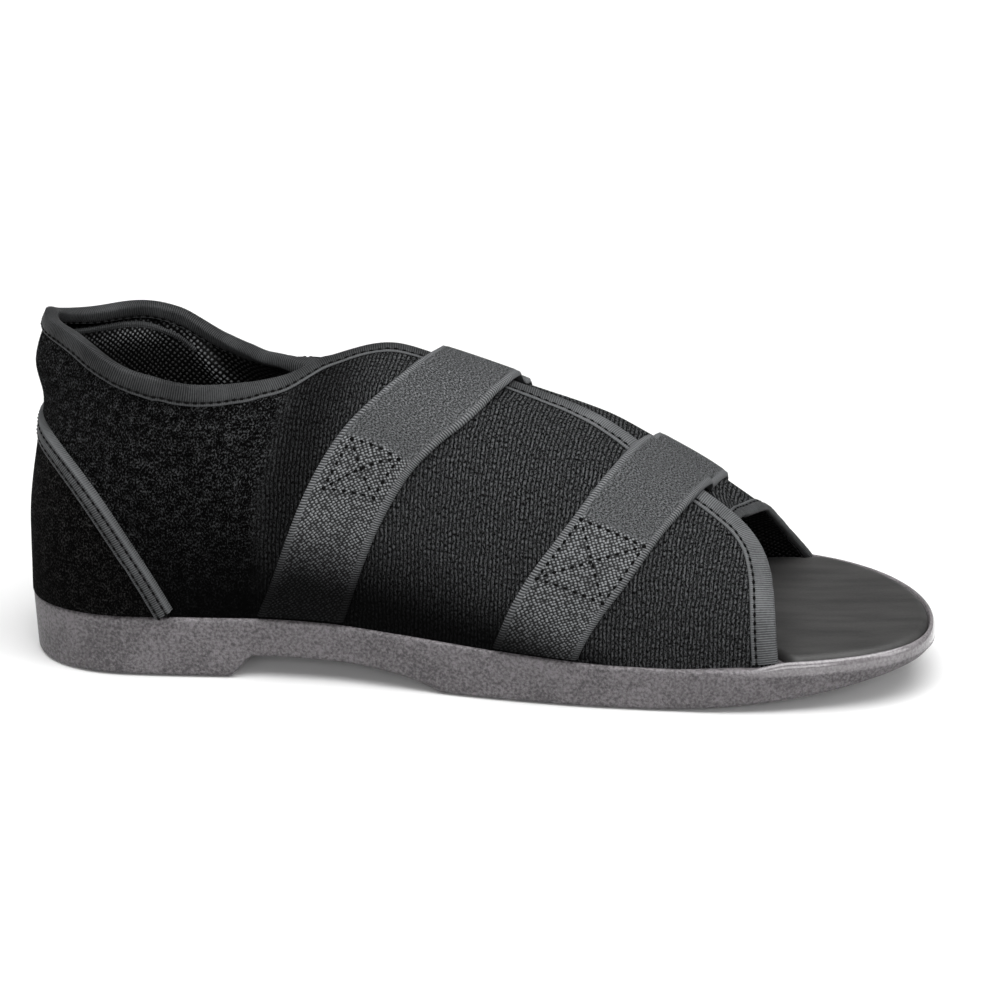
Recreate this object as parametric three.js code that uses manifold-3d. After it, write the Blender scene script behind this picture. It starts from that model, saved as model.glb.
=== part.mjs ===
// A post-operative shoe for the left foot: a soft wrap-over upper, open at the toe, on a moulded sole.
// Millimetres, +Z up, toe towards +X, big toe side at -Y. The origin is on the floor, in the middle of
// the heel's flat bottom. The near flap (big toe side) laps over the far flap on top of the foot.

import * as THREE from "three";
import { mergeVertices } from "three/addons/utils/BufferGeometryUtils.js";
import Module from "manifold-3d";

const wasm = await Module();
wasm.setup();

// Sole
const length = 285;
const ballWidth = 104;
const heelWidth = 69;
const heelReach = 38; // from the back of the heel to its widest place
const toeReach = 70; // from the widest place of the ball to the tip
const heelRoundness = 2.4; // power of the heel's plan outline, 2 is an ellipse
const toeRoundness = 2.18;
const bow = 2.5; // how far the waist's middle bows to the little toe side
const toeSwing = 13; // how far the tip lies towards the big toe side
const heelThickness = 20;
const ballThickness = 14.2;
const toeThickness = 4.6;
const toeSpring = 12;
const archRise = 7;
const breastRun = 6.5; // the slope at the front of the heel block, along the sole
const sideDraft = 1; // how far the sole's side draws in, top to bottom
const bottomRound = 1.6;
const toeUndercut = 3; // how much further the underside draws in at the tip
const rimHeight = 1.8; // the raised lip round the toe end of the footbed
const rimWidth = 2.2;
const treadDepth = 1.2;
const treadWidth = 3;
const treadPitch = 9;
const treadMargin = 9; // from a groove's end to the sole's edge
const insoleThickness = 2.8;
const insoleBevel = 0.7;
const insoleGap = 3.6; // the room it leaves for the bindings beside the flaps' front edges

// Upper
const wall = 3;
const instepHeight = 82; // footbed to the top of the instep
const upperInset = 0.8; // from the sole's edge to the upper's outer face
const flapInset = 3.1; // the same at the front of the flaps, inside the toe rim
const toeOpening = 41.5; // from the foot of the far flap's front edge to the tip of the sole
const nearSetBack = 7.2; // how far the near flap's front edge ends behind the far flap's
const farFlapEnd = length - toeOpening;
const nearFlapEnd = farFlapEnd - nearSetBack;
const rollDepth = 1.2; // the padded roll that stands out at the back of the collar
const pinchDepth = 4; // the dent under that roll
const cornerTuck = 0.16; // how far the collar draws in beside the back seam, as a share of its radius

// Trim
const clearance = 0.35;
const bindingThickness = 0.8;
const bindingWidth = 6.2;
const toeBindingWidth = 5.2;
const backSeamRise = 2.2; // the joined tape ends that stand up at the back seam
const counterThickness = 1.3;
const counterBindingWidth = 4.6;
const strapWidth = 25.4;
const strapThickness = 1.7;

// How the pieces are divided into flat faces.
const heelColumns = 14; // of each flap, round the heel
const sideColumns = 24; // of each flap, from the heel forwards
const flapRows = 11;
const rowEnd = 0.82; // the last row's share of the way to the rim
const rimRow = 0.92;
const strapSteps = 36;
const heelSteps = 9;
const waistSteps = 17;
const toeSteps = 12;
const nudge = 0.01; // a small step of turn, used to find a direction

const quarter = Math.PI / 2;
const share = (value, from, to) => Math.min(1, Math.max(0, (value - from) / (to - from)));
const ease = (t) => t * t * (3 - 2 * t);
const rising = (value, from, to) => ease(share(value, from, to));
const hump = (value, from, to) => Math.sin(Math.PI * share(value, from, to)) ** 2;
const mix = (a, b, t) => a + (b - a) * t;
const steps = (count) => Array.from({ length: count + 1 }, (_, i) => i / count);

// The smooth curve through one column of a table, which never overshoots the table's own values.
function through(rows, column) {
  const at = rows.map((row) => row.at);
  const value = rows.map((row) => row[column]);
  const slope = at.slice(1).map((x, i) => (value[i + 1] - value[i]) / (x - at[i]));
  const tangent = value.map((_, i) => {
    if (i === 0) return slope[0];
    if (i === slope.length) return slope[i - 1];
    const product = slope[i - 1] * slope[i];
    return product <= 0 ? 0 : (2 * product) / (slope[i - 1] + slope[i]);
  });
  return (x) => {
    const i = Math.max(0, at.findLastIndex((start, k) => k < slope.length && start <= x));
    const span = at[i + 1] - at[i];
    const t = share(x, at[i], at[i + 1]);
    const pull = tangent[i] * (1 - t) - tangent[i + 1] * t;
    return mix(value[i], value[i + 1], ease(t)) + span * t * (1 - t) * pull;
  };
}

// The sole's plan outline

// How far the waist has spread from the heel's width to the ball's, along the length.
const spread = through(
  [
    { at: 0.133, width: 0 },
    { at: 0.246, width: -0.02 },
    { at: 0.333, width: 0.09 },
    { at: 0.421, width: 0.38 },
    { at: 0.526, width: 0.72 },
    { at: 0.642, width: 0.94 },
    { at: 0.754, width: 1 },
  ],
  "width",
);
const roundEnd = (t, power) => Math.max(0, 1 - t ** power) ** (1 / power);
const toeStart = length - toeReach;

function halfWidth(x) {
  if (x < heelReach) return (heelWidth / 2) * roundEnd(share(x, heelReach, 0), heelRoundness);
  if (x > toeStart) return (ballWidth / 2) * roundEnd(share(x, toeStart, length), toeRoundness);
  return mix(heelWidth, ballWidth, spread(x / length)) / 2;
}

function middle(x) {
  return bow * rising(x, heelReach, length / 2) - toeSwing * share(x, toeStart, length) ** 3;
}

// The distance from the middle of a round end to its outline, by angle from the end's own axis.
function polarReach(angle, lengthwise, across, power) {
  const sum = Math.abs(Math.cos(angle) / lengthwise) ** power + Math.abs(Math.sin(angle) / across) ** power;
  return sum ** (-1 / power);
}

// The breast of the heel and the start of the forefoot, where the bottom changes slope.
const breast = length * 0.233;
const archFront = length * 0.467;
const springStart = length * 0.7;

const stationPlaces = [
  ...steps(heelSteps).map((t) => {
    const angle = quarter * t;
    return heelReach - polarReach(angle, heelReach, heelWidth / 2, heelRoundness) * Math.cos(angle);
  }),
  breast,
  breast + breastRun,
  ...steps(waistSteps)
    .slice(1, -1)
    .map((t) => mix(heelReach, toeStart, t)),
  ...steps(toeSteps).map((t) => {
    const angle = quarter * (1 - t);
    return toeStart + polarReach(angle, toeReach, ballWidth / 2, toeRoundness) * Math.cos(angle);
  }),
].sort((a, b) => a - b);

// The outline as one closed loop: from the back of the heel, along the near side, round the toe and back.
function outlineLoop(inset) {
  const last = stationPlaces.length - 1;
  const near = stationPlaces.map((x) => new THREE.Vector2(x, middle(x) - halfWidth(x)));
  const far = stationPlaces.map((x) => new THREE.Vector2(x, middle(x) + halfWidth(x)));
  const loop = [...near, ...far.slice(1, last).reverse()];
  return loop.map((p, i) => {
    const before = loop[(i + loop.length - 1) % loop.length];
    const after = loop[(i + 1) % loop.length];
    const inward = new THREE.Vector2(before.y - after.y, after.x - before.x).normalize();
    return p.clone().addScaledVector(inward, inset(p.x));
  });
}

// The sole's heights

function soleTop(x) {
  const thin = rising(x, 0.28 * length, 0.7 * length);
  const lift = toeSpring + toeThickness - ballThickness;
  return mix(heelThickness, ballThickness, thin) + lift * share(x, springStart, length) ** 2.6;
}

function soleBottom(x) {
  if (x <= breast) return 0;
  if (x < breast + breastRun) return archRise * share(x, breast, breast + breastRun);
  if (x < archFront) return archRise * (1 - share(x, breast + breastRun, archFront) ** 4);
  return toeSpring * share(x, springStart, length) ** 1.5;
}

const rimRise = (x) => rimHeight * rising(x, 0.795 * length, 0.845 * length);

// Making meshes

function geometryOf(positions, triangles) {
  const geometry = new THREE.BufferGeometry();
  const numbers = positions.flatMap((p) => [p.x, p.y, p.z]);
  geometry.setAttribute("position", new THREE.Float32BufferAttribute(numbers, 3));
  geometry.setIndex(triangles.flat());
  return geometry;
}

function volumeOf(positions, triangles) {
  const cross = new THREE.Vector3();
  return triangles.reduce((sum, [a, b, c]) => {
    return sum + positions[a].dot(cross.crossVectors(positions[b], positions[c])) / 6;
  }, 0);
}

// A closed mesh from corner points and faces of three or four corners, turned so that its faces point out.
function solid(positions, faces) {
  const split = ([a, b, c, d]) => (d === undefined ? [[a, b, c]] : [[a, b, c], [a, c, d]]);
  const triangles = faces.flatMap(split);
  const inside = volumeOf(positions, triangles) < 0;
  return geometryOf(positions, inside ? triangles.map(([a, b, c]) => [a, c, b]) : triangles);
}

// A sheet with thickness: grid[i][j] holds the sheet's outer and inner point at that place. Its faces
// split along one diagonal, and from the row named turned onwards along the other one.
function sheet(grid, turned = Infinity) {
  const columns = grid.length;
  const rows = grid[0].length;
  const last = { column: columns - 1, row: rows - 1 };
  const outer = (i, j) => i * rows + j;
  const inner = (i, j) => columns * rows + i * rows + j;
  const faces = [];
  for (let i = 0; i < columns - 1; i++) {
    for (let j = 0; j < rows - 1; j++) {
      const top = [outer(i, j), outer(i, j + 1), outer(i + 1, j + 1), outer(i + 1, j)];
      const under = [inner(i, j), inner(i + 1, j), inner(i + 1, j + 1), inner(i, j + 1)];
      for (const face of [top, under]) faces.push(j < turned ? face : [...face.slice(1), face[0]]);
    }
    faces.push([outer(i, 0), outer(i + 1, 0), inner(i + 1, 0), inner(i, 0)]);
    faces.push([outer(i, last.row), inner(i, last.row), inner(i + 1, last.row), outer(i + 1, last.row)]);
  }
  for (let j = 0; j < rows - 1; j++) {
    faces.push([outer(0, j), inner(0, j), inner(0, j + 1), outer(0, j + 1)]);
    const front = [outer(last.column, j), outer(last.column, j + 1)];
    faces.push([...front, inner(last.column, j + 1), inner(last.column, j)]);
  }
  return solid([...grid.flat().map((p) => p.out), ...grid.flat().map((p) => p.in)], faces);
}

// A body built up from closed loops, lowest first, with its ends closed by strips straight across.
function stack(loops) {
  const count = loops[0].length;
  const half = count / 2;
  const top = loops.length - 1;
  const at = (k, i) => k * count + ((i + count) % count);
  const faces = [];
  for (let k = 0; k < top; k++) {
    for (let i = 0; i < count; i++) faces.push([at(k, i), at(k, i + 1), at(k + 1, i + 1), at(k + 1, i)]);
  }
  for (let i = 0; i < half; i++) {
    const low = [at(0, i), at(0, -i), at(0, -i - 1), at(0, i + 1)];
    const high = [at(top, i), at(top, i + 1), at(top, -i - 1), at(top, -i)];
    for (const strip of [low, high]) faces.push([...new Set(strip)]);
  }
  return solid(loops.flat(), faces);
}

const raised = (loop, height) => loop.map((p) => new THREE.Vector3(p.x, p.y, height(p.x)));

// Sole and insole

function manifoldOf(geometry) {
  const plain = geometry.index ? geometry.toNonIndexed() : geometry.clone();
  const bare = new THREE.BufferGeometry().setAttribute("position", plain.getAttribute("position"));
  const merged = mergeVertices(bare, 1e-4);
  return new wasm.Manifold(
    new wasm.Mesh({
      numProp: 3,
      vertProperties: merged.attributes.position.array,
      triVerts: new Uint32Array(merged.index.array),
    }),
  );
}

function fromManifold(body) {
  const mesh = body.getMesh();
  const geometry = new THREE.BufferGeometry();
  geometry.setAttribute("position", new THREE.BufferAttribute(mesh.vertProperties, 3));
  geometry.setIndex(new THREE.BufferAttribute(mesh.triVerts, 1));
  return geometry;
}

// A groove across the tread, open downwards.
function treadGroove(x) {
  const across = 2 * (halfWidth(x) - treadMargin);
  const tall = toeSpring + treadDepth;
  const box = new THREE.BoxGeometry(treadWidth, across, tall);
  box.translate(x, middle(x), soleBottom(x) + treadDepth - tall / 2);
  return manifoldOf(box);
}

function outsole() {
  const inset = (distance) => outlineLoop(() => distance);
  const under = (x) => toeUndercut * rising(x, 0.85 * length, length);
  const bottomInset = (x) => sideDraft + bottomRound + under(x);
  const cornerInset = (x) => sideDraft + bottomRound * 0.3 + under(x) * 0.75;
  const body = stack([
    raised(outlineLoop(bottomInset), soleBottom),
    raised(outlineLoop(cornerInset), (x) => soleBottom(x) + bottomRound * 0.3),
    raised(inset(sideDraft), (x) => soleBottom(x) + bottomRound),
    raised(inset(sideDraft * 0.2), (x) => soleTop(x) - ballThickness * 0.22),
    raised(inset(0), (x) => soleTop(x) - rimWidth / 3 + rimRise(x) * 0.8),
    raised(inset(rimWidth / 4), (x) => soleTop(x) + rimRise(x)),
    raised(inset(rimWidth * 0.8), (x) => soleTop(x) + rimRise(x)),
    raised(inset(rimWidth), soleTop),
  ]);
  let cut = manifoldOf(body);
  const treads = [
    { from: 0.24 * heelReach, to: 0.62 * heelReach },
    { from: 1.28 * heelReach, to: breast - treadWidth },
    { from: archFront + treadPitch, to: length * 0.93 },
  ];
  for (const { from, to } of treads) {
    for (let x = from; x <= to; x += treadPitch) cut = cut.subtract(treadGroove(x));
  }
  return fromManifold(cut);
}

// The upper's wall stands this far inside the sole's edge: further in beside the toe rim.
const upperEdge = (x) => mix(upperInset, flapInset, rising(x, 0.72 * length, 0.79 * length));

function insole() {
  const inset = (x) => {
    const besideFlaps = insoleGap * rising(x, 0.6 * length, 0.78 * length);
    const insideWall = upperEdge(x) + wall + clearance + besideFlaps;
    return mix(insideWall, rimWidth + clearance, rising(x, farFlapEnd + 2, farFlapEnd + 12));
  };
  const loops = [0, 0, insoleBevel].map((bevel) => outlineLoop((x) => inset(x) + bevel));
  const heights = [0, insoleThickness - insoleBevel, insoleThickness];
  return stack(loops.map((loop, k) => raised(loop, (x) => soleTop(x) + clearance + heights[k])));
}

// The upper's surface, on the last

// Along the length: the height that the section would reach at its crown, as a share of the instep
// height, and the power of its outline. Behind the throat the crown is only the wall's leaning point.
const sections = [
  { at: 0.133, crown: 1.34, power: 3.5, farPower: 3.5 },
  { at: 0.154, crown: 1.325, power: 3.5, farPower: 3.5 },
  { at: 0.175, crown: 1.23, power: 3.45, farPower: 3.45 },
  { at: 0.203, crown: 1.06, power: 3.3, farPower: 3.3 },
  { at: 0.231, crown: 0.95, power: 3.0, farPower: 3.0 },
  { at: 0.26, crown: 0.89, power: 2.8, farPower: 2.7 },
  { at: 0.288, crown: 0.88, power: 2.6, farPower: 2.5 },
  { at: 0.333, crown: 0.92, power: 2.4, farPower: 2.3 },
  { at: 0.4, crown: 0.975, power: 2.3, farPower: 2.15 },
  { at: 0.45, crown: 0.94, power: 2.25, farPower: 2.1 },
  { at: 0.547, crown: 0.855, power: 2.2, farPower: 2.05 },
  { at: 0.632, crown: 0.765, power: 2.2, farPower: 2.0 },
  { at: 0.684, crown: 0.68, power: 2.2, farPower: 1.85 },
  { at: 0.74, crown: 0.575, power: 2.2, farPower: 1.7 },
  { at: 0.779, crown: 0.495, power: 2.2, farPower: 1.5 },
  { at: 0.811, crown: 0.42, power: 2.2, farPower: 1.4 },
  { at: 0.856, crown: 0.32, power: 2.2, farPower: 1.4 },
];
const crownShare = through(sections, "crown");
const nearPower = through(sections, "power");
const farPower = through(sections, "farPower");

// A place on the upper is given by its distance along the footprint from the back seam, negative on
// the near side, and by its turn: 0 at the sole, 1 at the crown, 2 at the sole of the other side.
const fanLength = 1.5 * heelReach;
const along = (x) => fanLength + x - heelReach;
const stationOf = (q) => heelReach + Math.max(0, Math.abs(q) - fanLength);

// The collar's padded roll at the back, the dent below it and the draw beside it, all as shares of the
// height to the crown.
const roll = { from: 0.56, to: 0.8 };
const dent = { from: 0.2, full: 0.5, fading: 0.54, to: 0.67 };
const tuck = { from: 0.3, to: 0.8 };

function skin(q, turn) {
  const x = stationOf(q);
  const side = q < 0 ? -1 : 1;
  const fan = quarter * Math.min(1, Math.abs(q) / fanLength);
  const angle = quarter * turn;
  const onNearSide = q < 0 === turn < 1;
  const power = onNearSide ? nearPower(x / length) : farPower(x / length);
  const edge = upperEdge(x);
  const reach = polarReach(fan, heelReach - edge, halfWidth(x) - edge, heelRoundness);
  const size = (Math.abs(Math.cos(angle)) ** power + Math.abs(Math.sin(angle)) ** power) ** (-1 / power);
  const height = Math.sin(angle) * size;
  const back = Math.cos(fan) ** 2;
  const pinch = rising(height, dent.from, dent.full) * (1 - rising(height, dent.fading, dent.to));
  const padding = back * (rollDepth * hump(height, roll.from, roll.to) - pinchDepth * pinch);
  const drawn = 1 - cornerTuck * Math.sin(2 * fan) ** 2 * rising(height, tuck.from, tuck.to);
  const out = reach * Math.cos(angle) * size * drawn + padding;
  return new THREE.Vector3(
    x - Math.cos(fan) * out,
    middle(x) + side * Math.sin(fan) * out,
    soleTop(x) + clearance + instepHeight * crownShare(x / length) * height,
  );
}

// How the skin moves with q and with turn, and which way is out.
function frameAt(q, turn) {
  const dq = 0.5;
  const dt = 0.004;
  const alongQ = skin(q + dq, turn).sub(skin(q - dq, turn)).divideScalar(2 * dq);
  const upTurn = skin(q, turn + dt).sub(skin(q, turn - dt)).divideScalar(2 * dt);
  return { alongQ, upTurn, out: new THREE.Vector3().crossVectors(upTurn, alongQ).normalize() };
}

const lifted = (q, turn, lift) => skin(q, turn).addScaledVector(frameAt(q, turn).out, lift);

// The place that lies a distance away over the skin, in a direction given as a vector.
function walked(q, turn, direction, distance) {
  const { alongQ, upTurn } = frameAt(q, turn);
  const qq = alongQ.dot(alongQ);
  const tt = upTurn.dot(upTurn);
  const qt = alongQ.dot(upTurn);
  const det = qq * tt - qt * qt;
  const a = alongQ.dot(direction) * distance;
  const b = upTurn.dot(direction) * distance;
  return { q: q + (a * tt - b * qt) / det, turn: turn + (b * qq - a * qt) / det };
}

// The far flap sinks under the near one, by the near wall and both bindings.
const lapDepth = wall + 2 * bindingThickness + 3.1 * clearance;

function sink(q, turn) {
  if (q <= 0) return 0;
  return lapDepth * rising(turn, 0.72, 0.98) * rising(stationOf(q), 0.24 * length, 0.31 * length);
}

// The rims: the turn at which the upper ends, by distance along the footprint as a share of the sole's
// length: round the collar, and then the near flap ends on top of the foot while the far flap goes on
// beneath it.
const nearRim = [
  { at: 0, turn: 0.484 },
  { at: 0.083, turn: 0.474 },
  { at: 0.128, turn: 0.456 },
  { at: 0.166, turn: 0.439 },
  { at: 0.195, turn: 0.422 },
  { at: 0.218, turn: 0.416 },
  { at: 0.24, turn: 0.436 },
  { at: 0.262, turn: 0.492 },
  { at: 0.284, turn: 0.567 },
  { at: 0.305, turn: 0.65 },
  { at: 0.326, turn: 0.732 },
  { at: 0.348, turn: 0.785 },
  { at: 0.369, turn: 0.857 },
  { at: 0.389, turn: 0.925 },
  { at: 0.41, turn: 0.952 },
  { at: 0.454, turn: 0.985 },
  { at: 0.5, turn: 1 },
  { at: 0.6, turn: 0.985 },
  { at: 0.67, turn: 0.975 },
  { at: 0.694, turn: 0.955 },
  { at: 0.731, turn: 0.9 },
  { at: 0.77, turn: 0.84 },
  { at: 0.817, turn: 0.777 },
  { at: 0.838, turn: 0.757 },
  { at: 0.85, turn: 0.74 },
];
const farRim = [
  { at: 0, turn: 0.484 },
  { at: 0.046, turn: 0.46 },
  { at: 0.094, turn: 0.45 },
  { at: 0.167, turn: 0.449 },
  { at: 0.207, turn: 0.44 },
  { at: 0.223, turn: 0.438 },
  { at: 0.24, turn: 0.449 },
  { at: 0.258, turn: 0.484 },
  { at: 0.284, turn: 0.562 },
  { at: 0.305, turn: 0.648 },
  { at: 0.326, turn: 0.738 },
  { at: 0.345, turn: 0.798 },
  { at: 0.363, turn: 0.842 },
  { at: 0.382, turn: 0.93 },
  { at: 0.4, turn: 1.02 },
  { at: 0.47, turn: 1.24 },
  { at: 0.55, turn: 1.38 },
  { at: 0.68, turn: 1.45 },
  { at: 0.836, turn: 1.45 },
];
// The front edges: how far the edge lies behind its foot at the sole, by the turn, as shares of length.
const nearFront = [
  { at: 0, back: 0 },
  { at: 0.2, back: 0.0034 },
  { at: 0.367, back: 0.006 },
  { at: 0.5, back: 0.0092 },
  { at: 0.609, back: 0.0165 },
  { at: 0.698, back: 0.029 },
  { at: 0.74, back: 0.0458 },
];
const farFront = [
  { at: 0, back: 0 },
  { at: 0.14, back: 0.0065 },
  { at: 0.28, back: 0.0175 },
  { at: 0.51, back: 0.0305 },
  { at: 0.735, back: 0.043 },
  { at: 0.96, back: 0.055 },
  { at: 1.2, back: 0.068 },
  { at: 1.45, back: 0.0851 },
];

// One half of the upper as a patch between the sole, the back seam, the rim and the front edge.
function flap(side, end, rimRows, frontRows) {
  const rimTurn = through(rimRows, "turn");
  const setBack = through(frontRows, "back");
  const foot = along(end);
  const cornerTurn = frontRows[frontRows.length - 1].at;
  const corner = { q: foot - setBack(cornerTurn) * length, turn: cornerTurn };
  const topShare = rimRows[rimRows.length - 1].at;
  const rim = (u) => ({ q: corner.q * u, turn: rimTurn(topShare * u) });
  const front = (v) => ({ q: foot - setBack(cornerTurn * v) * length, turn: cornerTurn * v });
  const backTurn = rimRows[0].turn;
  return {
    side,
    rim,
    front,
    place(u, v) {
      const edgeQ = u * front(v).q;
      const edgeTurn = (1 - u) * backTurn * v + u * cornerTurn * v;
      const q = (1 - v) * foot * u + v * rim(u).q + edgeQ - u * ((1 - v) * foot + v * corner.q);
      const turn = v * rim(u).turn + edgeTurn - v * ((1 - u) * backTurn + u * cornerTurn);
      return { q: side * q, turn };
    },
  };
}

const heelShare = 0.24;
const frontShare = 0.974;
const heelPart = steps(heelColumns).map((t) => heelShare * t);
const sidePart = steps(sideColumns).map((t) => mix(heelShare, frontShare, t));
const columnShares = [...heelPart, ...sidePart.slice(1), 1];
const rowShares = steps(flapRows).map((v) => v * rowEnd);

const nearFlap = flap(-1, nearFlapEnd, nearRim, nearFront);
const farFlap = flap(1, farFlapEnd, farRim, farFront);
const nearSide = ({ q, turn }) => ({ q: -q, turn });

// Gives each place on an edge the direction that leads from the edge into the cloth.
function withInward(path) {
  return path.map(({ q, turn }, i) => {
    const before = path[Math.max(0, i - 1)];
    const after = path[Math.min(path.length - 1, i + 1)];
    const run = skin(after.q, after.turn).sub(skin(before.q, before.turn)).normalize();
    return { q, turn, inward: new THREE.Vector3().crossVectors(frameAt(q, turn).out, run).normalize() };
  });
}

// The whole upper edge, from the foot of the near flap's front edge to the far flap's corner.
const nearFrontPlaces = [...rowShares.slice(1), rimRow].map((v) => nearSide(nearFlap.front(v)));
const nearShares = columnShares.slice(1).reverse(); // the back seam's column belongs to the far side
const rimPlaces = [
  ...nearShares.map((u) => nearSide(nearFlap.rim(u))),
  ...columnShares.map((u) => farFlap.rim(u)),
];
const edgePlaces = withInward([...nearFrontPlaces, ...rimPlaces]);

function wallAt({ q, turn }) {
  const depth = sink(q, turn);
  return { out: lifted(q, turn, -depth), in: lifted(q, turn, -depth - wall) };
}

// The row of places just inside the rim, under the edge of its binding.
function besideRim(i) {
  if (i === 0) return nearFlap.place(1, rimRow);
  if (i === rimPlaces.length - 1) return farFlap.place(1, rimRow);
  const { q, turn, inward } = edgePlaces[nearFrontPlaces.length + i];
  return walked(q, turn, inward, bindingWidth);
}

function upper() {
  const columns = [
    ...nearShares.map((u) => rowShares.map((v) => nearFlap.place(u, v))),
    ...columnShares.map((u) => rowShares.map((v) => farFlap.place(u, v))),
  ];
  return sheet(columns.map((column, i) => [...column, besideRim(i), rimPlaces[i]].map(wallAt)));
}

// A tape folded over an edge of the upper, from the edge's places with their inward directions. Each
// fold row is a distance in from the edge and a lift, for the tape's outer and its inner face.
function tape(path, folds, turned) {
  const place = ({ q, turn, inward }, [distance, lift]) => {
    const there = walked(q, turn, inward, distance);
    return lifted(there.q, there.turn, lift(there.q, there.turn));
  };
  const column = (p, i) => {
    return folds(i).map((fold) => ({ out: place(p, fold.out), in: place(p, fold.in) }));
  };
  return sheet(path.map(column), turned);
}

// The fold row at which a tape round the edge reaches the upper's inner face, where its rows run the
// other way from the cloth's.
const innerLeg = 4;

// A tape round the upper's edge: down its outer face, over the edge and down its inner face.
function roundEdge(width, near, rise = () => 0) {
  const off = near + bindingThickness;
  const above = (height) => (q, turn) => height - sink(q, turn);
  return (i) => {
    const top = off + rise(i);
    return [
      { out: [width, above(off)], in: [width, above(near)] },
      { out: [0, above(off)], in: [0, above(near)] },
      { out: [-top * 0.8, above(bindingThickness * 0.3)], in: [-near, above(0)] },
      { out: [-top * 0.8, above(-wall - bindingThickness * 0.3)], in: [-near, above(-wall)] },
      { out: [0, above(-wall - off)], in: [0, above(-wall - near)] },
      { out: [width, above(-wall - off)], in: [width, above(-wall - near)] },
    ];
  };
}

const lapStart = 0.345; // along the sole, where the binding on the far rim ends, under the near flap

// The long binding: up the near flap's front edge, back along the throat, round the collar, and along
// the far side until it goes under the near flap.
function collarBinding() {
  const seam = nearFrontPlaces.length + columnShares.length - 1;
  const rise = (i) => (i === seam ? backSeamRise : 0);
  const path = edgePlaces.filter(({ q }) => q < along(lapStart * length));
  return tape(path, roundEdge(bindingWidth, clearance, rise), innerLeg);
}

// The short binding, over the far flap's front edge, from the sole to where it goes under the near flap.
function toeBinding() {
  const path = [...rowShares.slice(1), rimRow].reverse().map((v) => farFlap.front(v));
  return tape(withInward(path), roundEdge(toeBindingWidth, 1.5 * clearance), innerLeg);
}

// Heel counter

// The turn of its slanting top edge, by distance along the footprint.
const counterEdge = [
  { at: 0, turn: 0.309 },
  { at: 0.041, turn: 0.305 },
  { at: 0.085, turn: 0.289 },
  { at: 0.124, turn: 0.26 },
  { at: 0.152, turn: 0.22 },
  { at: 0.175, turn: 0.17 },
  { at: 0.199, turn: 0.112 },
  { at: 0.221, turn: 0.053 },
  { at: 0.238, turn: 0 },
];
const counterEnd = counterEdge[counterEdge.length - 1].at * length;
const counterTurn = through(counterEdge, "turn");
const counterTop = (q) => counterTurn(Math.abs(q) / length);

function heelCounter() {
  const low = clearance;
  const high = clearance + counterThickness;
  const column = (q) => {
    const turns = steps(8).map((v) => counterTop(q) * v);
    return turns.map((turn) => ({ out: lifted(q, turn, high), in: lifted(q, turn, low) }));
  };
  return sheet(steps(32).map((t) => column(mix(-1, 1, t) * counterEnd * 0.965)));
}

// The tape over the counter's slanting edges, over the back seam, stepping down on to the upper.
function counterBinding() {
  const path = steps(30).map((t) => {
    const q = mix(-1, 1, t) * counterEnd * 0.93;
    return { q, turn: counterTop(q) };
  });
  const under = () => 2 * clearance + counterThickness;
  const over = () => under() + bindingThickness;
  const onCloth = () => clearance;
  const step = [
    { out: [counterBindingWidth, over], in: [counterBindingWidth, under] },
    { out: [counterBindingWidth / 2, over], in: [counterBindingWidth / 2, under] },
    { out: [0, over], in: [-clearance, under] },
    { out: [-clearance - bindingThickness, onCloth], in: [-clearance, onCloth] },
  ];
  return tape(withInward(path), () => step);
}

// Straps

// Each strap's middle line: the distance from the back of the heel, as a share of the length, by turn.
// They are sewn down at the near side and pressed on to the far flap.
const rearStrap = [
  { at: 0, x: 0.31 },
  { at: 0.05, x: 0.3185 },
  { at: 0.2, x: 0.34 },
  { at: 0.3, x: 0.3565 },
  { at: 0.45, x: 0.3885 },
  { at: 0.6, x: 0.4295 },
  { at: 0.75, x: 0.462 },
  { at: 0.9, x: 0.4815 },
  { at: 1, x: 0.49 },
  { at: 1.3, x: 0.503 },
  { at: 1.8, x: 0.49 },
];
const frontStrap = [
  { at: 0, x: 0.57 },
  { at: 0.1, x: 0.585 },
  { at: 0.2, x: 0.6045 },
  { at: 0.3, x: 0.6265 },
  { at: 0.4, x: 0.646 },
  { at: 0.53, x: 0.6675 },
  { at: 0.67, x: 0.688 },
  { at: 0.8, x: 0.703 },
  { at: 1, x: 0.7205 },
  { at: 1.3, x: 0.725 },
  { at: 1.8, x: 0.7 },
];
const strapEnd = 1.74;
const strapBridge = bindingThickness + 2 * clearance;
const nearRimTurn = through(nearRim, "turn");

// How far a strap's underside stands off the near flap's surface: close to the cloth, over the near
// flap's binding, and down on to the far flap beyond it.
function strapLift({ q, turn }) {
  const rim = nearRimTurn(Math.abs(q) / length);
  const past = rising(turn, rim + 0.08, rim + 0.4);
  const over = rising(turn, rim - 0.28, rim - 0.16) * (1 - past);
  return clearance + strapBridge * over - past * sink(-q, 2 - turn);
}

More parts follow.
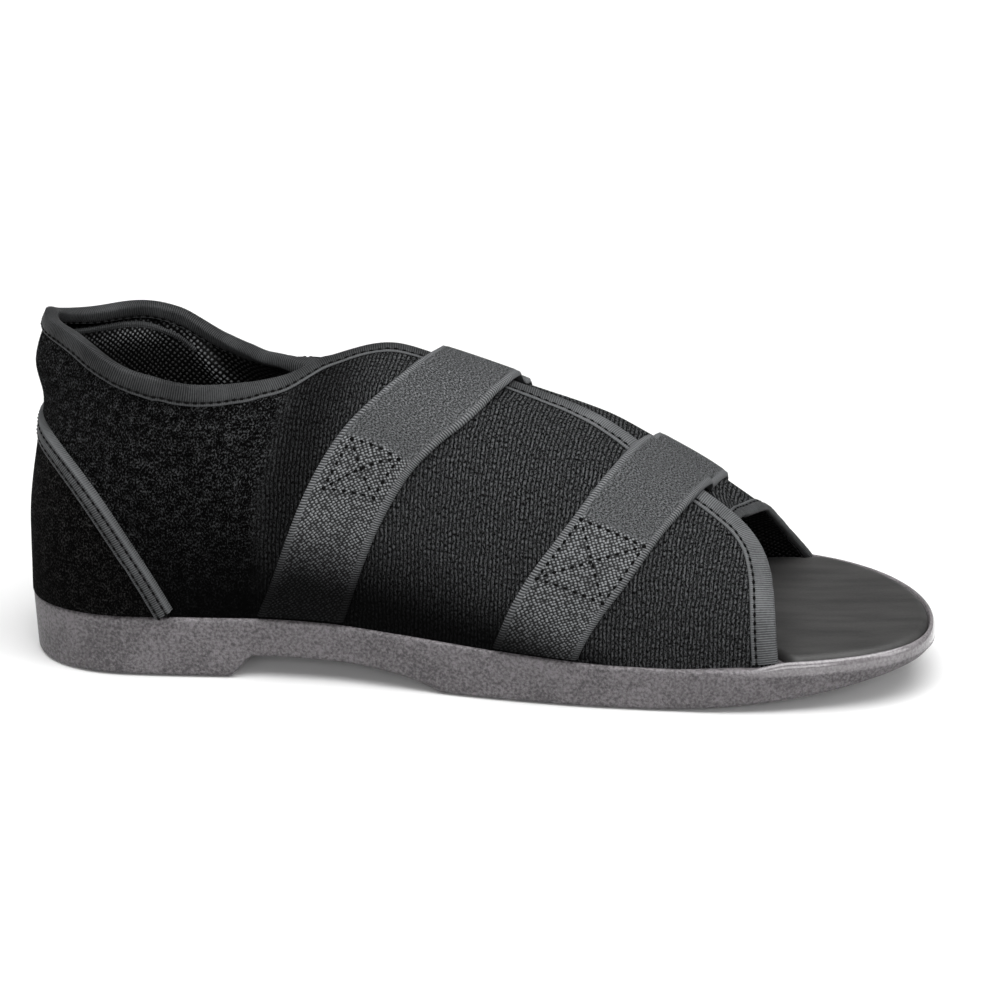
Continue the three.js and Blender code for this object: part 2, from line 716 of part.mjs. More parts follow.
function strap(rows) {
  const place = through(rows, "x");
  const onMiddle = (turn) => ({ q: -along(place(turn) * length), turn });
  const beside = (turn, distance) => {
    const here = onMiddle(turn);
    const next = onMiddle(turn + nudge);
    const run = skin(next.q, next.turn).sub(skin(here.q, here.turn)).normalize();
    const sideways = new THREE.Vector3().crossVectors(frameAt(here.q, turn).out, run).normalize();
    return walked(here.q, turn, sideways, distance);
  };
  const edgeStart = (distance) => {
    const settle = (turn) => turn + nudge - beside(turn, distance).turn;
    return settle(settle(settle(settle(nudge))));
  };
  const across = steps(4).map((t) => {
    const distance = mix(-0.5, 0.5, t) * strapWidth;
    return { distance, start: edgeStart(distance) };
  });
  const point = (t, { distance, start }) => {
    const there = beside(mix(start, strapEnd, t), distance);
    const { q, turn } = there;
    const lift = strapLift(there);
    return { out: lifted(q, turn, lift + strapThickness), in: lifted(q, turn, lift) };
  };
  return sheet(steps(strapSteps).map((t) => across.map((edge) => point(t, edge))));
}

// The shoe

const cloth = (color) => new THREE.MeshStandardMaterial({ color, roughness: 0.95, metalness: 0 });
const pieces = [
  ["outsole", outsole(), new THREE.MeshStandardMaterial({ color: 0x3b383b, roughness: 0.55, metalness: 0 })],
  ["insole", insole(), new THREE.MeshStandardMaterial({ color: 0x3f3f41, roughness: 0.6, metalness: 0 })],
  ["upper", upper(), cloth(0x131315)],
  ["heel_counter", heelCounter(), cloth(0x1b1b1c)],
  ["counter_binding", counterBinding(), cloth(0x3a3a3d)],
  ["collar_binding", collarBinding(), cloth(0x3f3f43)],
  ["toe_binding", toeBinding(), cloth(0x3f3f43)],
  ["strap_rear", strap(rearStrap), cloth(0x47484c)],
  ["strap_front", strap(frontStrap), cloth(0x47484c)],
];

const shoe = new THREE.Group();
for (const [name, geometry, material] of pieces) {
  const mesh = new THREE.Mesh(geometry, material);
  mesh.name = name;
  mesh.position.x = -heelReach;
  shoe.add(mesh);
}

export default shoe;
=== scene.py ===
# A post-operative shoe for the left foot, dressed for its picture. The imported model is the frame, and each
# piece made here stands where its solid stands.

import math
import bpy
import numpy as np
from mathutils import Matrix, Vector


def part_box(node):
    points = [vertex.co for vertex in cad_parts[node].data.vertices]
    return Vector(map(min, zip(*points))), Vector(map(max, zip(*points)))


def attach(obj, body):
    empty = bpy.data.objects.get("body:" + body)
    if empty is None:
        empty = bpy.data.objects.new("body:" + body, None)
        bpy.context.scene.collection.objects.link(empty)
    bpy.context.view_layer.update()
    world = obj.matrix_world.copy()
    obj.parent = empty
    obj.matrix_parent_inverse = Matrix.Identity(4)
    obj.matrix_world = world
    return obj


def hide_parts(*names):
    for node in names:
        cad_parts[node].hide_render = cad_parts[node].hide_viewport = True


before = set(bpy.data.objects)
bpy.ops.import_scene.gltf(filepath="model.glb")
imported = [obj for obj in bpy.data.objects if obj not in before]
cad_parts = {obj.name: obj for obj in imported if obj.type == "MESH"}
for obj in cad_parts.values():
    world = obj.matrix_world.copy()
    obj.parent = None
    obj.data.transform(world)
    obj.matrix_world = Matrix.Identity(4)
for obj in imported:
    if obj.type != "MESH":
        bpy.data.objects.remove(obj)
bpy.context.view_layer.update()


# Camera
# It looks at the big toe side, turned a little towards the toe and down from above, from so far away
# that the shoe is hardly foreshortened.
view_azimuth = math.radians(5)
view_elevation = math.radians(20)
view_distance = 1.45
looked_at = Vector((0.1099, 0, 0.0497))

towards_camera = Vector((
    math.sin(view_azimuth) * math.cos(view_elevation),
    -math.cos(view_azimuth) * math.cos(view_elevation),
    math.sin(view_elevation),
))
camera_data = bpy.data.cameras.new("camera")
camera_data.lens = 166.5
camera = bpy.data.objects.new("camera", camera_data)
camera.location = looked_at + view_distance * towards_camera
camera.rotation_euler = towards_camera.to_track_quat("Z", "Y").to_euler()
bpy.context.scene.collection.objects.link(camera)
bpy.context.scene.camera = camera


# Floor and light
# A plain pale floor under three soft boxes: the key hangs above and slightly towards the camera, a wide
# fill stands on the camera's side and a small one beyond the toe. The floor glows further out, and a
# white wall stands all round it, so that a low view ends in plain white.
world_strength = 0.16
floor_reach = 6
floor_gap = 0.0003
glow_start = 0.3
glow_full = 1.3
wall_distance = 5
wall_foot = -0.01
wall_height = 4
wall_sides = 64

bpy.context.scene.view_settings.view_transform = "Standard"
world = bpy.data.worlds.new("studio")
world.use_nodes = True
world.node_tree.nodes["Background"].inputs["Color"].default_value = (1, 1, 1, 1)
world.node_tree.nodes["Background"].inputs["Strength"].default_value = world_strength
bpy.context.scene.world = world


def new_material(name, roughness, **constants):
    """A material and its tree and shader. Constants name the shader's sockets, with _ for a space."""
    material = bpy.data.materials.new(name)
    material.use_nodes = True
    shader = material.node_tree.nodes["Principled BSDF"]
    shader.inputs["Roughness"].default_value = roughness
    for socket, value in constants.items():
        shader.inputs[socket.replace("_", " ")].default_value = value
    return material, material.node_tree, shader


def add(tree, kind, inputs=None, output=0, **settings):
    """A new node's output. Inputs are given by name or number, as a value or another node's output."""
    node = tree.nodes.new(kind)
    for setting, value in settings.items():
        setattr(node, setting, value)
    for key, value in (inputs or {}).items():
        if isinstance(value, bpy.types.NodeSocket):
            tree.links.new(value, node.inputs[key])
        else:
            node.inputs[key].default_value = value
    return node.outputs[output]


def set_piece(name, points, faces, material):
    """A piece of the set, not of the shoe. It throws no soft light back on the shoe."""
    mesh = bpy.data.meshes.new(name)
    mesh.from_pydata(points, [], faces)
    mesh.materials.append(material)
    piece = bpy.data.objects.new(name, mesh)
    piece.visible_diffuse = False
    bpy.context.scene.collection.objects.link(piece)
    return piece


floor_paint, floor_tree, floor_shader = new_material(
    "floor_paint", 0.9, Base_Color=(0.97, 0.97, 0.97, 1), Emission_Color=(1, 1, 1, 1))
floor_place = add(floor_tree, "ShaderNodeTexCoord", output="Object")
from_shoe = add(floor_tree, "ShaderNodeVectorMath", {0: floor_place}, "Value", operation="LENGTH")
glow_range = {"Value": from_shoe, "From Min": glow_start, "From Max": glow_full}
glow = add(floor_tree, "ShaderNodeMapRange", glow_range)
floor_tree.links.new(glow, floor_shader.inputs["Emission Strength"])
floor_corners = [(x * floor_reach, y * floor_reach, -floor_gap)
                 for x, y in ((-1, -1), (1, -1), (1, 1), (-1, 1))]
set_piece("floor", floor_corners, [(0, 1, 2, 3)], floor_paint)

white_paper = new_material(
    "white_paper", 0.5, Base_Color=(1, 1, 1, 1), Emission_Color=(1, 1, 1, 1), Emission_Strength=1)[0]
wall_points = []
wall_faces = []
for side in range(wall_sides):
    angle = 2 * math.pi * side / wall_sides
    x, y = wall_distance * math.cos(angle), wall_distance * math.sin(angle)
    wall_points += [(x, y, wall_foot), (x, y, wall_height)]
    here, after = 2 * side, 2 * ((side + 1) % wall_sides)
    wall_faces.append((here, after, after + 1, here + 1))
backdrop = set_piece("backdrop", wall_points, wall_faces, white_paper)
backdrop.visible_glossy = False
backdrop.visible_shadow = False


def soft_box(name, place, width, height, power):
    """An area light that faces the shoe."""
    light = bpy.data.lights.new(name, "AREA")
    light.shape = "RECTANGLE"
    light.size = width
    light.size_y = height
    light.energy = power
    box = bpy.data.objects.new(name, light)
    box.location = place
    box.rotation_euler = (Vector(place) - looked_at).to_track_quat("Z", "Y").to_euler()
    bpy.context.scene.collection.objects.link(box)


soft_box("key_light", (0.2, -0.35, 1.7), 2.4, 1.8, 48)
soft_box("fill_light", (0.2, -2.2, 0.8), 2.2, 0.8, 21)
soft_box("toe_light", (1.5, -0.5, 0.7), 0.8, 0.8, 5)


# Sole
# One moulding of foamed rubber: a low heel with a sloping breast, a shallow arch, a toe that springs up
# and a thin glossy lip round the toe end. Lengths are in millimetres from the back of the heel.
MM = 0.001
sole_low, sole_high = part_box("outsole")
heel_back = sole_low[0]
length = round((sole_high[0] - sole_low[0]) / MM, 1)
ball_width = round((sole_high[1] - sole_low[1]) / MM, 1)
heel_width = 69
heel_reach = 38
toe_reach = 70
toe_start = length - toe_reach
heel_roundness = 2.4
toe_roundness = 2.18
bow = 2.5
toe_swing = 13
heel_thickness = 20
ball_thickness = 14.2
toe_thickness = 4.6
toe_spring = 12
arch_rise = 7
breast = 0.233 * length
breast_run = 6.5
arch_front = 0.467 * length
spring_start = 0.7 * length
slope_start = 0.28 * length
top_curl = 2.6
arch_curl = 4
spring_curl = 1.5
side_draft = 1
bottom_round = 1.6
breast_softness = 0.7
toe_undercut = 3
undercut_start = 0.85 * length
rim_height = 1.8
rim_width = 2.2
rim_start = 0.795 * length
rim_full = 0.845 * length
tread_depth = 1.2
tread_width = 3
tread_pitch = 9
tread_margin = 9
tread_starts = (0.24 * heel_reach, 1.28 * heel_reach, arch_front + tread_pitch)
tread_ends = (0.62 * heel_reach, breast - tread_width, 0.93 * length)
lip_base = 0.16 * ball_thickness
lip_crest = 0.62
lip_drop = 1.3
lip_fullness = 1.15
lip_fall = 0.55
shine_near = 0.79 * length
shine_far = 0.87 * length
shine_run = 0.04 * length
right_angle = math.pi / 2


def share(value, start, end):
    """How far the value is on the way from start to end, from 0 to 1."""
    return np.clip((value - start) / (end - start), 0, 1)


def ease(t):
    """A share from 0 to 1 that starts and stops softly."""
    return t * t * (3 - 2 * t)


def rising(value, start, end):
    """A soft step from 0 at start to 1 at end."""
    return ease(share(value, start, end))


def mix(a, b, t):
    return a + (b - a) * t


def named_rows(names, *rows):
    """A table whose columns are called by name."""
    return dict(zip(names.split(), np.array(rows, float).T))


def curve_through(table, column):
    """A smooth curve through a column's values, which never swings past them."""
    at, value = table["at"], table[column]
    slope = np.diff(value) / np.diff(at)
    total = slope[:-1] + slope[1:]
    product = slope[:-1] * slope[1:]
    inner = np.where(product > 0, 2 * product / np.where(total == 0, 1, total), 0)
    tangent = np.concatenate([slope[:1], inner, slope[-1:]])

    def curve(x):
        i = np.clip(np.searchsorted(at, x, side="right") - 1, 0, len(slope) - 1)
        span = at[i + 1] - at[i]
        t = np.clip((x - at[i]) / span, 0, 1)
        pull = tangent[i] * (1 - t) - tangent[i + 1] * t
        return mix(value[i], value[i + 1], ease(t)) + span * t * (1 - t) * pull

    return curve


# How the sole widens from heel to ball, by share of the length.
spread = curve_through(named_rows(
    "at width",
    (0.133, 0), (0.246, -0.02), (0.333, 0.09), (0.421, 0.38), (0.526, 0.72), (0.642, 0.94), (0.754, 1),
), "width")


def round_end(t, power):
    """A rounded end's half width as a share: 1 where it begins and 0 at its tip."""
    return np.maximum(0, 1 - t ** power) ** (1 / power)


def half_width(x):
    heel = heel_width / 2 * round_end(share(x, heel_reach, 0), heel_roundness)
    toe = ball_width / 2 * round_end(share(x, toe_start, length), toe_roundness)
    waist = mix(heel_width, ball_width, spread(x / length)) / 2
    return np.where(x < heel_reach, heel, np.where(x > toe_start, toe, waist))


def middle(x):
    """The sole's middle line, which bows a little to the far side and swings to the big toe at its tip."""
    return bow * rising(x, heel_reach, length / 2) - toe_swing * share(x, toe_start, length) ** 3


def polar_reach(angle, lengthwise, across, power):
    """How far a rounded end reaches from its centre, in the direction of the angle."""
    total = np.abs(np.cos(angle) / lengthwise) ** power + np.abs(np.sin(angle) / across) ** power
    return total ** (-1 / power)


def sole_top(x):
    lift = toe_spring + toe_thickness - ball_thickness
    ground = mix(heel_thickness, ball_thickness, rising(x, slope_start, spring_start))
    return ground + lift * share(x, spring_start, length) ** top_curl


def sole_bottom(x):
    breast_top = breast + breast_run
    slope = arch_rise * share(x, breast, breast_top)
    arch = arch_rise * (1 - share(x, breast_top, arch_front) ** arch_curl)
    spring = toe_spring * share(x, spring_start, length) ** spring_curl
    return np.where(x < breast_top, slope, np.where(x < arch_front, arch, spring))


def rim_rise(x):
    """How high the lip stands over the sole's top."""
    return rim_height * rising(x, rim_start, rim_full)


heel_angles = np.linspace(0, right_angle, 40)
toe_angles = np.linspace(right_angle, 0, 56)
stations = np.unique(np.concatenate([
    heel_reach - polar_reach(heel_angles, heel_reach, heel_width / 2, heel_roundness) * np.cos(heel_angles),
    [breast - 1, breast, breast + 1, breast + breast_run - 1, breast + breast_run, breast + breast_run + 1],
    np.linspace(heel_reach, toe_start, 96),
    toe_start + polar_reach(toe_angles, toe_reach, ball_width / 2, toe_roundness) * np.cos(toe_angles),
]).round(6))


def outline(inset):
    """The sole's outline as a loop of points. Inset tells how far each one moves in, from its way along
    and whether it lies on the near side."""
    near = np.stack([stations, middle(stations) - half_width(stations)], -1)
    far = np.stack([stations, middle(stations) + half_width(stations)], -1)
    loop = np.concatenate([near, far[-2:0:-1]])
    run = np.roll(loop, -1, 0) - np.roll(loop, 1, 0)
    inward = np.stack([-run[:, 1], run[:, 0]], -1) / np.linalg.norm(run, axis=1)[:, None]
    on_near_side = np.arange(len(loop)) < len(near)
    return loop + inward * (inset(loop[:, 0], on_near_side) * np.ones(len(loop)))[:, None]


def level(loop, height):
    """The loop's points with their height."""
    return np.column_stack([loop, height(loop[:, 0]) * np.ones(len(loop))])


def in_frame(points):
    """Points in millimetres from the heel, as places in the frame."""
    return np.asarray(points) * MM + (heel_back, 0, 0)


def finished(mesh, materials, sharp=40):
    """The mesh's object, in the scene, on the shoe's one body."""
    for material in materials:
        mesh.materials.append(material)
    mesh.shade_smooth()
    mesh.set_sharp_from_angle(angle=math.radians(sharp))
    piece = bpy.data.objects.new(mesh.name, mesh)
    bpy.context.scene.collection.objects.link(piece)
    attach(piece, "root")
    return piece


def stack(name, loops):
    """A closed body from level loops, lowest first, with its ends closed by strips straight across."""
    count = len(loops[0])
    around = np.arange(count)
    after = np.roll(around, -1)
    faces = []
    for k in range(len(loops) - 1):
        low, high = k * count, (k + 1) * count
        faces += np.stack([low + around, low + after, high + after, high + around], -1).tolist()
    top = (len(loops) - 1) * count
    for i in range(count // 2):
        a, b = i, i + 1
        c, d = (-i - 1) % count, (-i) % count
        faces.append(list(dict.fromkeys([a, d, c, b])))
        faces.append(list(dict.fromkeys([top + a, top + b, top + c, top + d])))
    mesh = bpy.data.meshes.new(name)
    mesh.from_pydata(in_frame(np.concatenate(loops)).tolist(), [], faces)
    return mesh


def softened(height, reach):
    """The height with its corners rounded over the reach."""
    return lambda x: (height(x - reach) + 2 * height(x) + height(x + reach)) / 4


def tread_bars(places):
    """The bars that cut the tread's grooves, one at each place along the sole."""
    corners, faces = [], []
    for x in places:
        across = half_width(x) - tread_margin
        bottom, top = sole_bottom(x) - toe_spring, sole_bottom(x) + tread_depth
        start = len(corners)
        for z in (bottom, top):
            for dx, dy in ((-1, -1), (1, -1), (1, 1), (-1, 1)):
                corners.append((x + dx * tread_width / 2, middle(x) + dy * across, z))
        sides = [(i, (i + 1) % 4, (i + 1) % 4 + 4, i + 4) for i in range(4)]
        faces += [[start + i for i in face] for face in [(3, 2, 1, 0), (4, 5, 6, 7), *sides]]
    mesh = bpy.data.meshes.new("tread_bars")
    mesh.from_pydata(in_frame(corners).tolist(), [], faces)
    return bpy.data.objects.new("tread_bars", mesh)


def sums(tree, operation, a, b=0.0):
    """The result of an operation, such as ADD, on one or two values."""
    return add(tree, "ShaderNodeMath", {0: a, 1: b}, operation=operation)


def scaled(tree, value, by):
    """A value times another."""
    return sums(tree, "MULTIPLY", value, by)


def shared(tree, a, share_a, b, share_b):
    """Two values added, each by its share."""
    return sums(tree, "ADD", scaled(tree, a, share_a), scaled(tree, b, share_b))


def mark(tree, name):
    """A number that the mesh carries at each of its points."""
    return add(tree, "ShaderNodeAttribute", output="Fac", attribute_name=name)


def spread_between(tree, value, low, high, to_low=0.0, to_high=1.0):
    """The value's part between low and high, stretched from to_low to to_high."""
    wanted = {"Value": value, "From Min": low, "From Max": high, "To Min": to_low, "To Max": to_high}
    return add(tree, "ShaderNodeMapRange", wanted)


def blended(tree, factor, a, b):
    """A colour between a and b."""
    node = tree.nodes.new("ShaderNodeMix")
    node.data_type = "RGBA"
    for socket, value in ((node.inputs[0], factor), (node.inputs[6], a), (node.inputs[7], b)):
        if isinstance(value, bpy.types.NodeSocket):
            tree.links.new(value, socket)
        else:
            socket.default_value = value
    return node.outputs[2]


def noise(tree, vector, per_mm, detail=2.0, stretch=(1, 1, 1), roughness=0.5):
    """Noise with so many grains to the millimetre along each direction, on a vector in metres."""
    scale = tuple(per_mm / MM * s for s in stretch)
    grains = add(tree, "ShaderNodeVectorMath", {0: vector, 1: scale}, operation="MULTIPLY")
    wanted = {"Vector": grains, "Scale": 1, "Detail": detail, "Roughness": roughness}
    return add(tree, "ShaderNodeTexNoise", wanted)


def raise_surface(tree, shader, height, depth_mm):
    """A bump of the height, from 0 to 1, over a depth in millimetres."""
    wanted = {"Height": height, "Strength": 1.0, "Distance": depth_mm * MM}
    lifted_normal = add(tree, "ShaderNodeBump", wanted)
    tree.links.new(lifted_normal, shader.inputs["Normal"])


def sole_rubber():
    """Pebbled grey rubber with paler worn patches, smooth and glossy on the lip, where a highlight is also
    painted in a paler colour.
    """
    material, tree, shader = new_material("sole_rubber", 0.46, Coat_Roughness=0.09)
    place = add(tree, "ShaderNodeTexCoord", output="Object")
    pebbles = noise(tree, place, 1.1, detail=3, roughness=0.6)
    patches = noise(tree, place, 0.05, detail=3)
    grit = noise(tree, place, 2.2, detail=1)
    worn = spread_between(tree, shared(tree, pebbles, 0.7, patches, 0.3), 0.4, 0.6)
    tone = blended(tree, worn, (0.062, 0.057, 0.06, 1), (0.235, 0.219, 0.23, 1))
    lip = mark(tree, "lip")
    # Painted highlight: the lip's colour is made paler where it is glossy.
    tone = blended(tree, scaled(tree, lip, 0.4), tone, (0.3, 0.28, 0.29, 1))
    tree.links.new(tone, shader.inputs["Base Color"])
    tree.links.new(lip, shader.inputs["Coat Weight"])
    tree.links.new(spread_between(tree, lip, 0, 1, 0.48, 0.16), shader.inputs["Roughness"])
    calm = sums(tree, "SUBTRACT", 1.0, scaled(tree, lip, 0.85))
    height = sums(tree, "MULTIPLY", shared(tree, pebbles, 0.8, grit, 0.2), calm)
    raise_surface(tree, shader, height, 0.5)
    return material


def make_outsole():
    """The moulding from the ground up: its rounded bottom edge, its side and its lip. The grooves are cut
    last."""
    def under(x):
        return toe_undercut * rising(x, undercut_start, length)

    bottom = softened(sole_bottom, breast_softness)
    loops = []
    for angle in np.linspace(0, right_angle, 6):
        inset = side_draft + (1 - math.sin(angle)) * bottom_round
        height = (1 - math.cos(angle)) * bottom_round
        edge = outline(lambda x, _: inset + under(x) * math.cos(angle))
        loops.append(level(edge, lambda x: bottom(x) + height))
    for t in np.linspace(0.12, 1, 7):
        side = outline(lambda x, _: side_draft * (1 - t))
        loops.append(level(side, lambda x: mix(bottom(x) + bottom_round, sole_top(x) - lip_base, t)))
    lip_loops = len(loops)
    for t in np.linspace(0, 1, 13):
        inset = rim_width * (1 - math.cos(math.pi * t)) / 2
        crest = math.sin(math.pi * min(t, lip_crest) / (2 * lip_crest)) ** 0.8
        fall = 1 - lip_fall * rising(t, lip_crest, 1)
        lip_edge = outline(lambda x, _: inset)
        loops.append(level(
            lip_edge,
            lambda x: sole_top(x) - lip_drop * (1 - crest) + rim_rise(x) * lip_fullness * crest * fall,
        ))
    loops.append(level(outline(lambda x, _: rim_width + 0.05), sole_top))
    mesh = stack("sole", loops)
    count = len(loops[0])
    places = np.concatenate(loops)
    rows = np.arange(len(places)) // count
    # Where the lip is glossy and painted paler as a highlight, beginning further back on the near side.
    shine_start = np.where(places[:, 1] < middle(places[:, 0]), shine_near, shine_far)
    shine = rising(places[:, 0], shine_start, shine_start + shine_run)
    lip = np.where((rows >= lip_loops) & (rows < len(loops) - 3), shine, 0)
    mesh.attributes.new("lip", "FLOAT", "POINT").data.foreach_set("value", lip)
    body = bpy.data.objects.new("sole_body", mesh)
    bpy.context.scene.collection.objects.link(body)
    fields = zip(tread_starts, tread_ends)
    bars = tread_bars([x for start, end in fields for x in np.arange(start, end + 0.001, tread_pitch)])
    bpy.context.scene.collection.objects.link(bars)
    cut = body.modifiers.new("tread", "BOOLEAN")
    cut.object = bars
    cut.solver = "EXACT"
    graph = bpy.context.evaluated_depsgraph_get()
    moulded = bpy.data.meshes.new_from_object(body.evaluated_get(graph))
    moulded.name = "outsole_moulding"
    bpy.data.objects.remove(body)
    bpy.data.objects.remove(bars)
    return moulded


outsole = finished(make_outsole(), [sole_rubber()])
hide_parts("outsole")


# Footbed
# A thin sheet of smooth dark foam, laid on the sole inside the flaps and inside the toe's lip. Its top
# edge is rounded over.
insole_thickness = 2.8
insole_bevel = 2.3
insole_round = 3.2
insole_gap = 3.6
gap_start = 0.6 * length
gap_full = 0.78 * length
wall = 3
upper_inset = 0.8
flap_inset = 3.1
inset_start = 0.72 * length
inset_full = 0.79 * length
near_flap_end = 236.3
far_flap_end = 246
clearance = 0.35
press_share = 0.62
press_reach = (2, 17)
near_spread = near_flap_end + 0.5
far_spread = far_flap_end - 1.5
spread_run = 6.5


def upper_edge(x):
    """How far inside the sole's outline the upper meets it."""
    return mix(upper_inset, flap_inset, rising(x, inset_start, inset_full))


def footbed_inset(x, on_near_side):
    """The footbed keeps inside the flaps, follows the far flap where it is pressed thin, and spreads to
    the lip past each flap's front edge."""
    pressed = np.where(on_near_side, 0, press_share * (1 - rising(far_flap_end - x, *press_reach)))
    room = wall + insole_gap * rising(x, gap_start, gap_full)
    inside_wall = upper_edge(x) + room * (1 - pressed) + clearance
    spread_start = np.where(on_near_side, near_spread, far_spread)
    return mix(inside_wall, rim_width + 0.1, rising(x, spread_start, spread_start + spread_run))


def grey(value, warmth=0.0):
    """A grey, made warmer or cooler by a share."""
    return (value * (1 + warmth), value, value * (1 - warmth), 1)


def footbed_skin():
    """Smooth dark foam with faint streaks along the foot."""
    material, tree, shader = new_material("footbed_skin", 0.5, Specular_IOR_Level=0.4)
    place = add(tree, "ShaderNodeTexCoord", output="Object")
    streaks = noise(tree, place, 0.12, detail=4, stretch=(0.35, 1.6, 1))
    fine = noise(tree, place, 1.6, detail=2)
    grain = shared(tree, streaks, 0.7, fine, 0.3)
    tone = blended(tree, spread_between(tree, grain, 0.3, 0.7), grey(0.026, 0.01), grey(0.056, 0.02))
    tree.links.new(tone, shader.inputs["Base Color"])
    raise_surface(tree, shader, grain, 0.12)
    return material


def make_footbed():
    """The sheet's straight edge, then its rounded one."""
    steps = [(0, 0), (0, insole_thickness - insole_bevel)]
    for angle in np.linspace(0, right_angle, 9)[1:]:
        rise = insole_thickness - insole_bevel * (1 - math.sin(angle))
        steps.append((insole_round * (1 - math.cos(angle)), rise))
    loops = []
    for inset, rise in steps:
        edge = outline(lambda x, on_near_side: footbed_inset(x, on_near_side) + inset)
        loops.append(level(edge, lambda x: sole_top(x) + clearance + rise))
    return stack("footbed", loops)


footbed = finished(make_footbed(), [footbed_skin()])
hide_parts("insole")


# Upper
# Two flaps of foam faced with looped cloth and lined with mesh, in one wall round the heel. The near
# flap laps over the far one on top of the foot. The rear quarter's loops are brushed, the vamp's are
# knitted in wales, and a seam with a soft trough parts the two.
instep_height = 82
roll_depth = 1.2
roll_band = (0.56, 0.8)
pinch_depth = 2.6
pinch_rise = (0.2, 0.5)
pinch_fall = (0.54, 0.67)
corner_tuck = 0.16
tuck_rise = (0.3, 0.8)
binding_thickness = 0.8
skin_per_turn = 75
rim_per_turn = 110

# The upper's cross-sections, by share of the length: how high the crown stands, and how square the near
# and the far shoulder are.
sections = named_rows(
    "at crown near_power far_power",
    (0.1, 1.34, 3.5, 3.5),
    (0.133, 1.34, 3.5, 3.5),
    (0.154, 1.325, 3.5, 3.5),
    (0.175, 1.23, 3.45, 3.45),
    (0.203, 1.06, 3.3, 3.3),
    (0.231, 0.95, 3.0, 3.0),
    (0.26, 0.89, 2.8, 2.7),
    (0.288, 0.88, 2.6, 2.5),
    (0.333, 0.92, 2.4, 2.3),
    (0.4, 0.975, 2.3, 2.15),
    (0.45, 0.94, 2.25, 2.1),
    (0.547, 0.855, 2.2, 2.05),
    (0.632, 0.765, 2.2, 2.0),
    (0.684, 0.68, 2.2, 1.85),
    (0.74, 0.575, 2.2, 1.7),
    (0.779, 0.495, 2.2, 1.5),
    (0.811, 0.42, 2.2, 1.4),
    (0.856, 0.32, 2.2, 1.4),
)
crown_share = curve_through(sections, "crown")
near_power = curve_through(sections, "near_power")
far_power = curve_through(sections, "far_power")
fan_length = 1.5 * heel_reach


def along(x):
    """The way along the footprint from the back seam, round the heel's fan and then straight on."""
    return fan_length + x - heel_reach


def station_of(q):
    """The way along the sole at a way along the footprint."""
    return heel_reach + np.maximum(0, np.abs(q) - fan_length)


def hump(value, start, end):
    """A soft bump that rises from start and is gone at end."""
    return np.sin(math.pi * share(value, start, end)) ** 2


def skin(q, turn):
    """The upper's surface: q is the way along the footprint from the back seam, negative on the near
    side, and turn goes from 0 at the sole over 1 at the crown to 2 at the other side's sole."""
    q, turn = np.broadcast_arrays(np.asarray(q, float), np.asarray(turn, float))
    x = station_of(q)
    side = np.where(q < 0, -1, 1)
    fan = right_angle * np.minimum(1, np.abs(q) / fan_length)
    angle = right_angle * turn
    power = np.where((q < 0) == (turn < 1), near_power(x / length), far_power(x / length))
    edge = upper_edge(x)
    reach = polar_reach(fan, heel_reach - edge, half_width(x) - edge, heel_roundness)
    size = (np.abs(np.cos(angle)) ** power + np.abs(np.sin(angle)) ** power) ** (-1 / power)
    height = np.sin(angle) * size
    pinch = rising(height, *pinch_rise) * (1 - rising(height, *pinch_fall))
    padding = np.cos(fan) ** 2 * (roll_depth * hump(height, *roll_band) - pinch_depth * pinch)
    drawn = 1 - corner_tuck * np.sin(2 * fan) ** 2 * rising(height, *tuck_rise)
    out = reach * np.cos(angle) * size * drawn + padding
    return np.stack([
        x - np.cos(fan) * out,
        middle(x) + side * np.sin(fan) * out,
        sole_top(x) + clearance + instep_height * crown_share(x / length) * height,
    ], -1)


def unit(vectors):
    return vectors / np.linalg.norm(vectors, axis=-1, keepdims=True)


def frame_at(q, turn):
    """The skin's two directions and its outward normal."""
    dq = 0.5
    dt = 0.004
    along_q = (skin(q + dq, turn) - skin(q - dq, turn)) / (2 * dq)
    up_turn = (skin(q, turn + dt) - skin(q, turn - dt)) / (2 * dt)
    return along_q, up_turn, unit(np.cross(up_turn, along_q))


def lifted(q, turn, lift):
    """The place over the skin by so many millimetres."""
    return skin(q, turn) + frame_at(q, turn)[2] * np.asarray(lift)[..., None]


def walked(q, turn, direction, distance):
    """The place that lies a distance away over the skin, in a direction given as a vector."""
    along_q, up_turn, _ = frame_at(q, turn)
    pairs = ((along_q, along_q), (up_turn, up_turn), (along_q, up_turn))
    qq, tt, qt = (np.sum(a * b, -1) for a, b in pairs)
    a = np.sum(along_q * direction, -1) * distance
    b = np.sum(up_turn * direction, -1) * distance
    det = qq * tt - qt * qt
    return q + (a * tt - b * qt) / det, turn + (b * qq - a * qt) / det


lap_depth = wall + 2 * binding_thickness + 3.1 * clearance
lap_turns = (0.72, 0.98)
lap_run = (0.24 * length, 0.31 * length)


def sink(q, turn):
    """How deep the far flap lies under the near one."""
    depth = rising(turn, *lap_turns) * rising(station_of(q), *lap_run)
    return np.where(q <= 0, 0, lap_depth * depth)


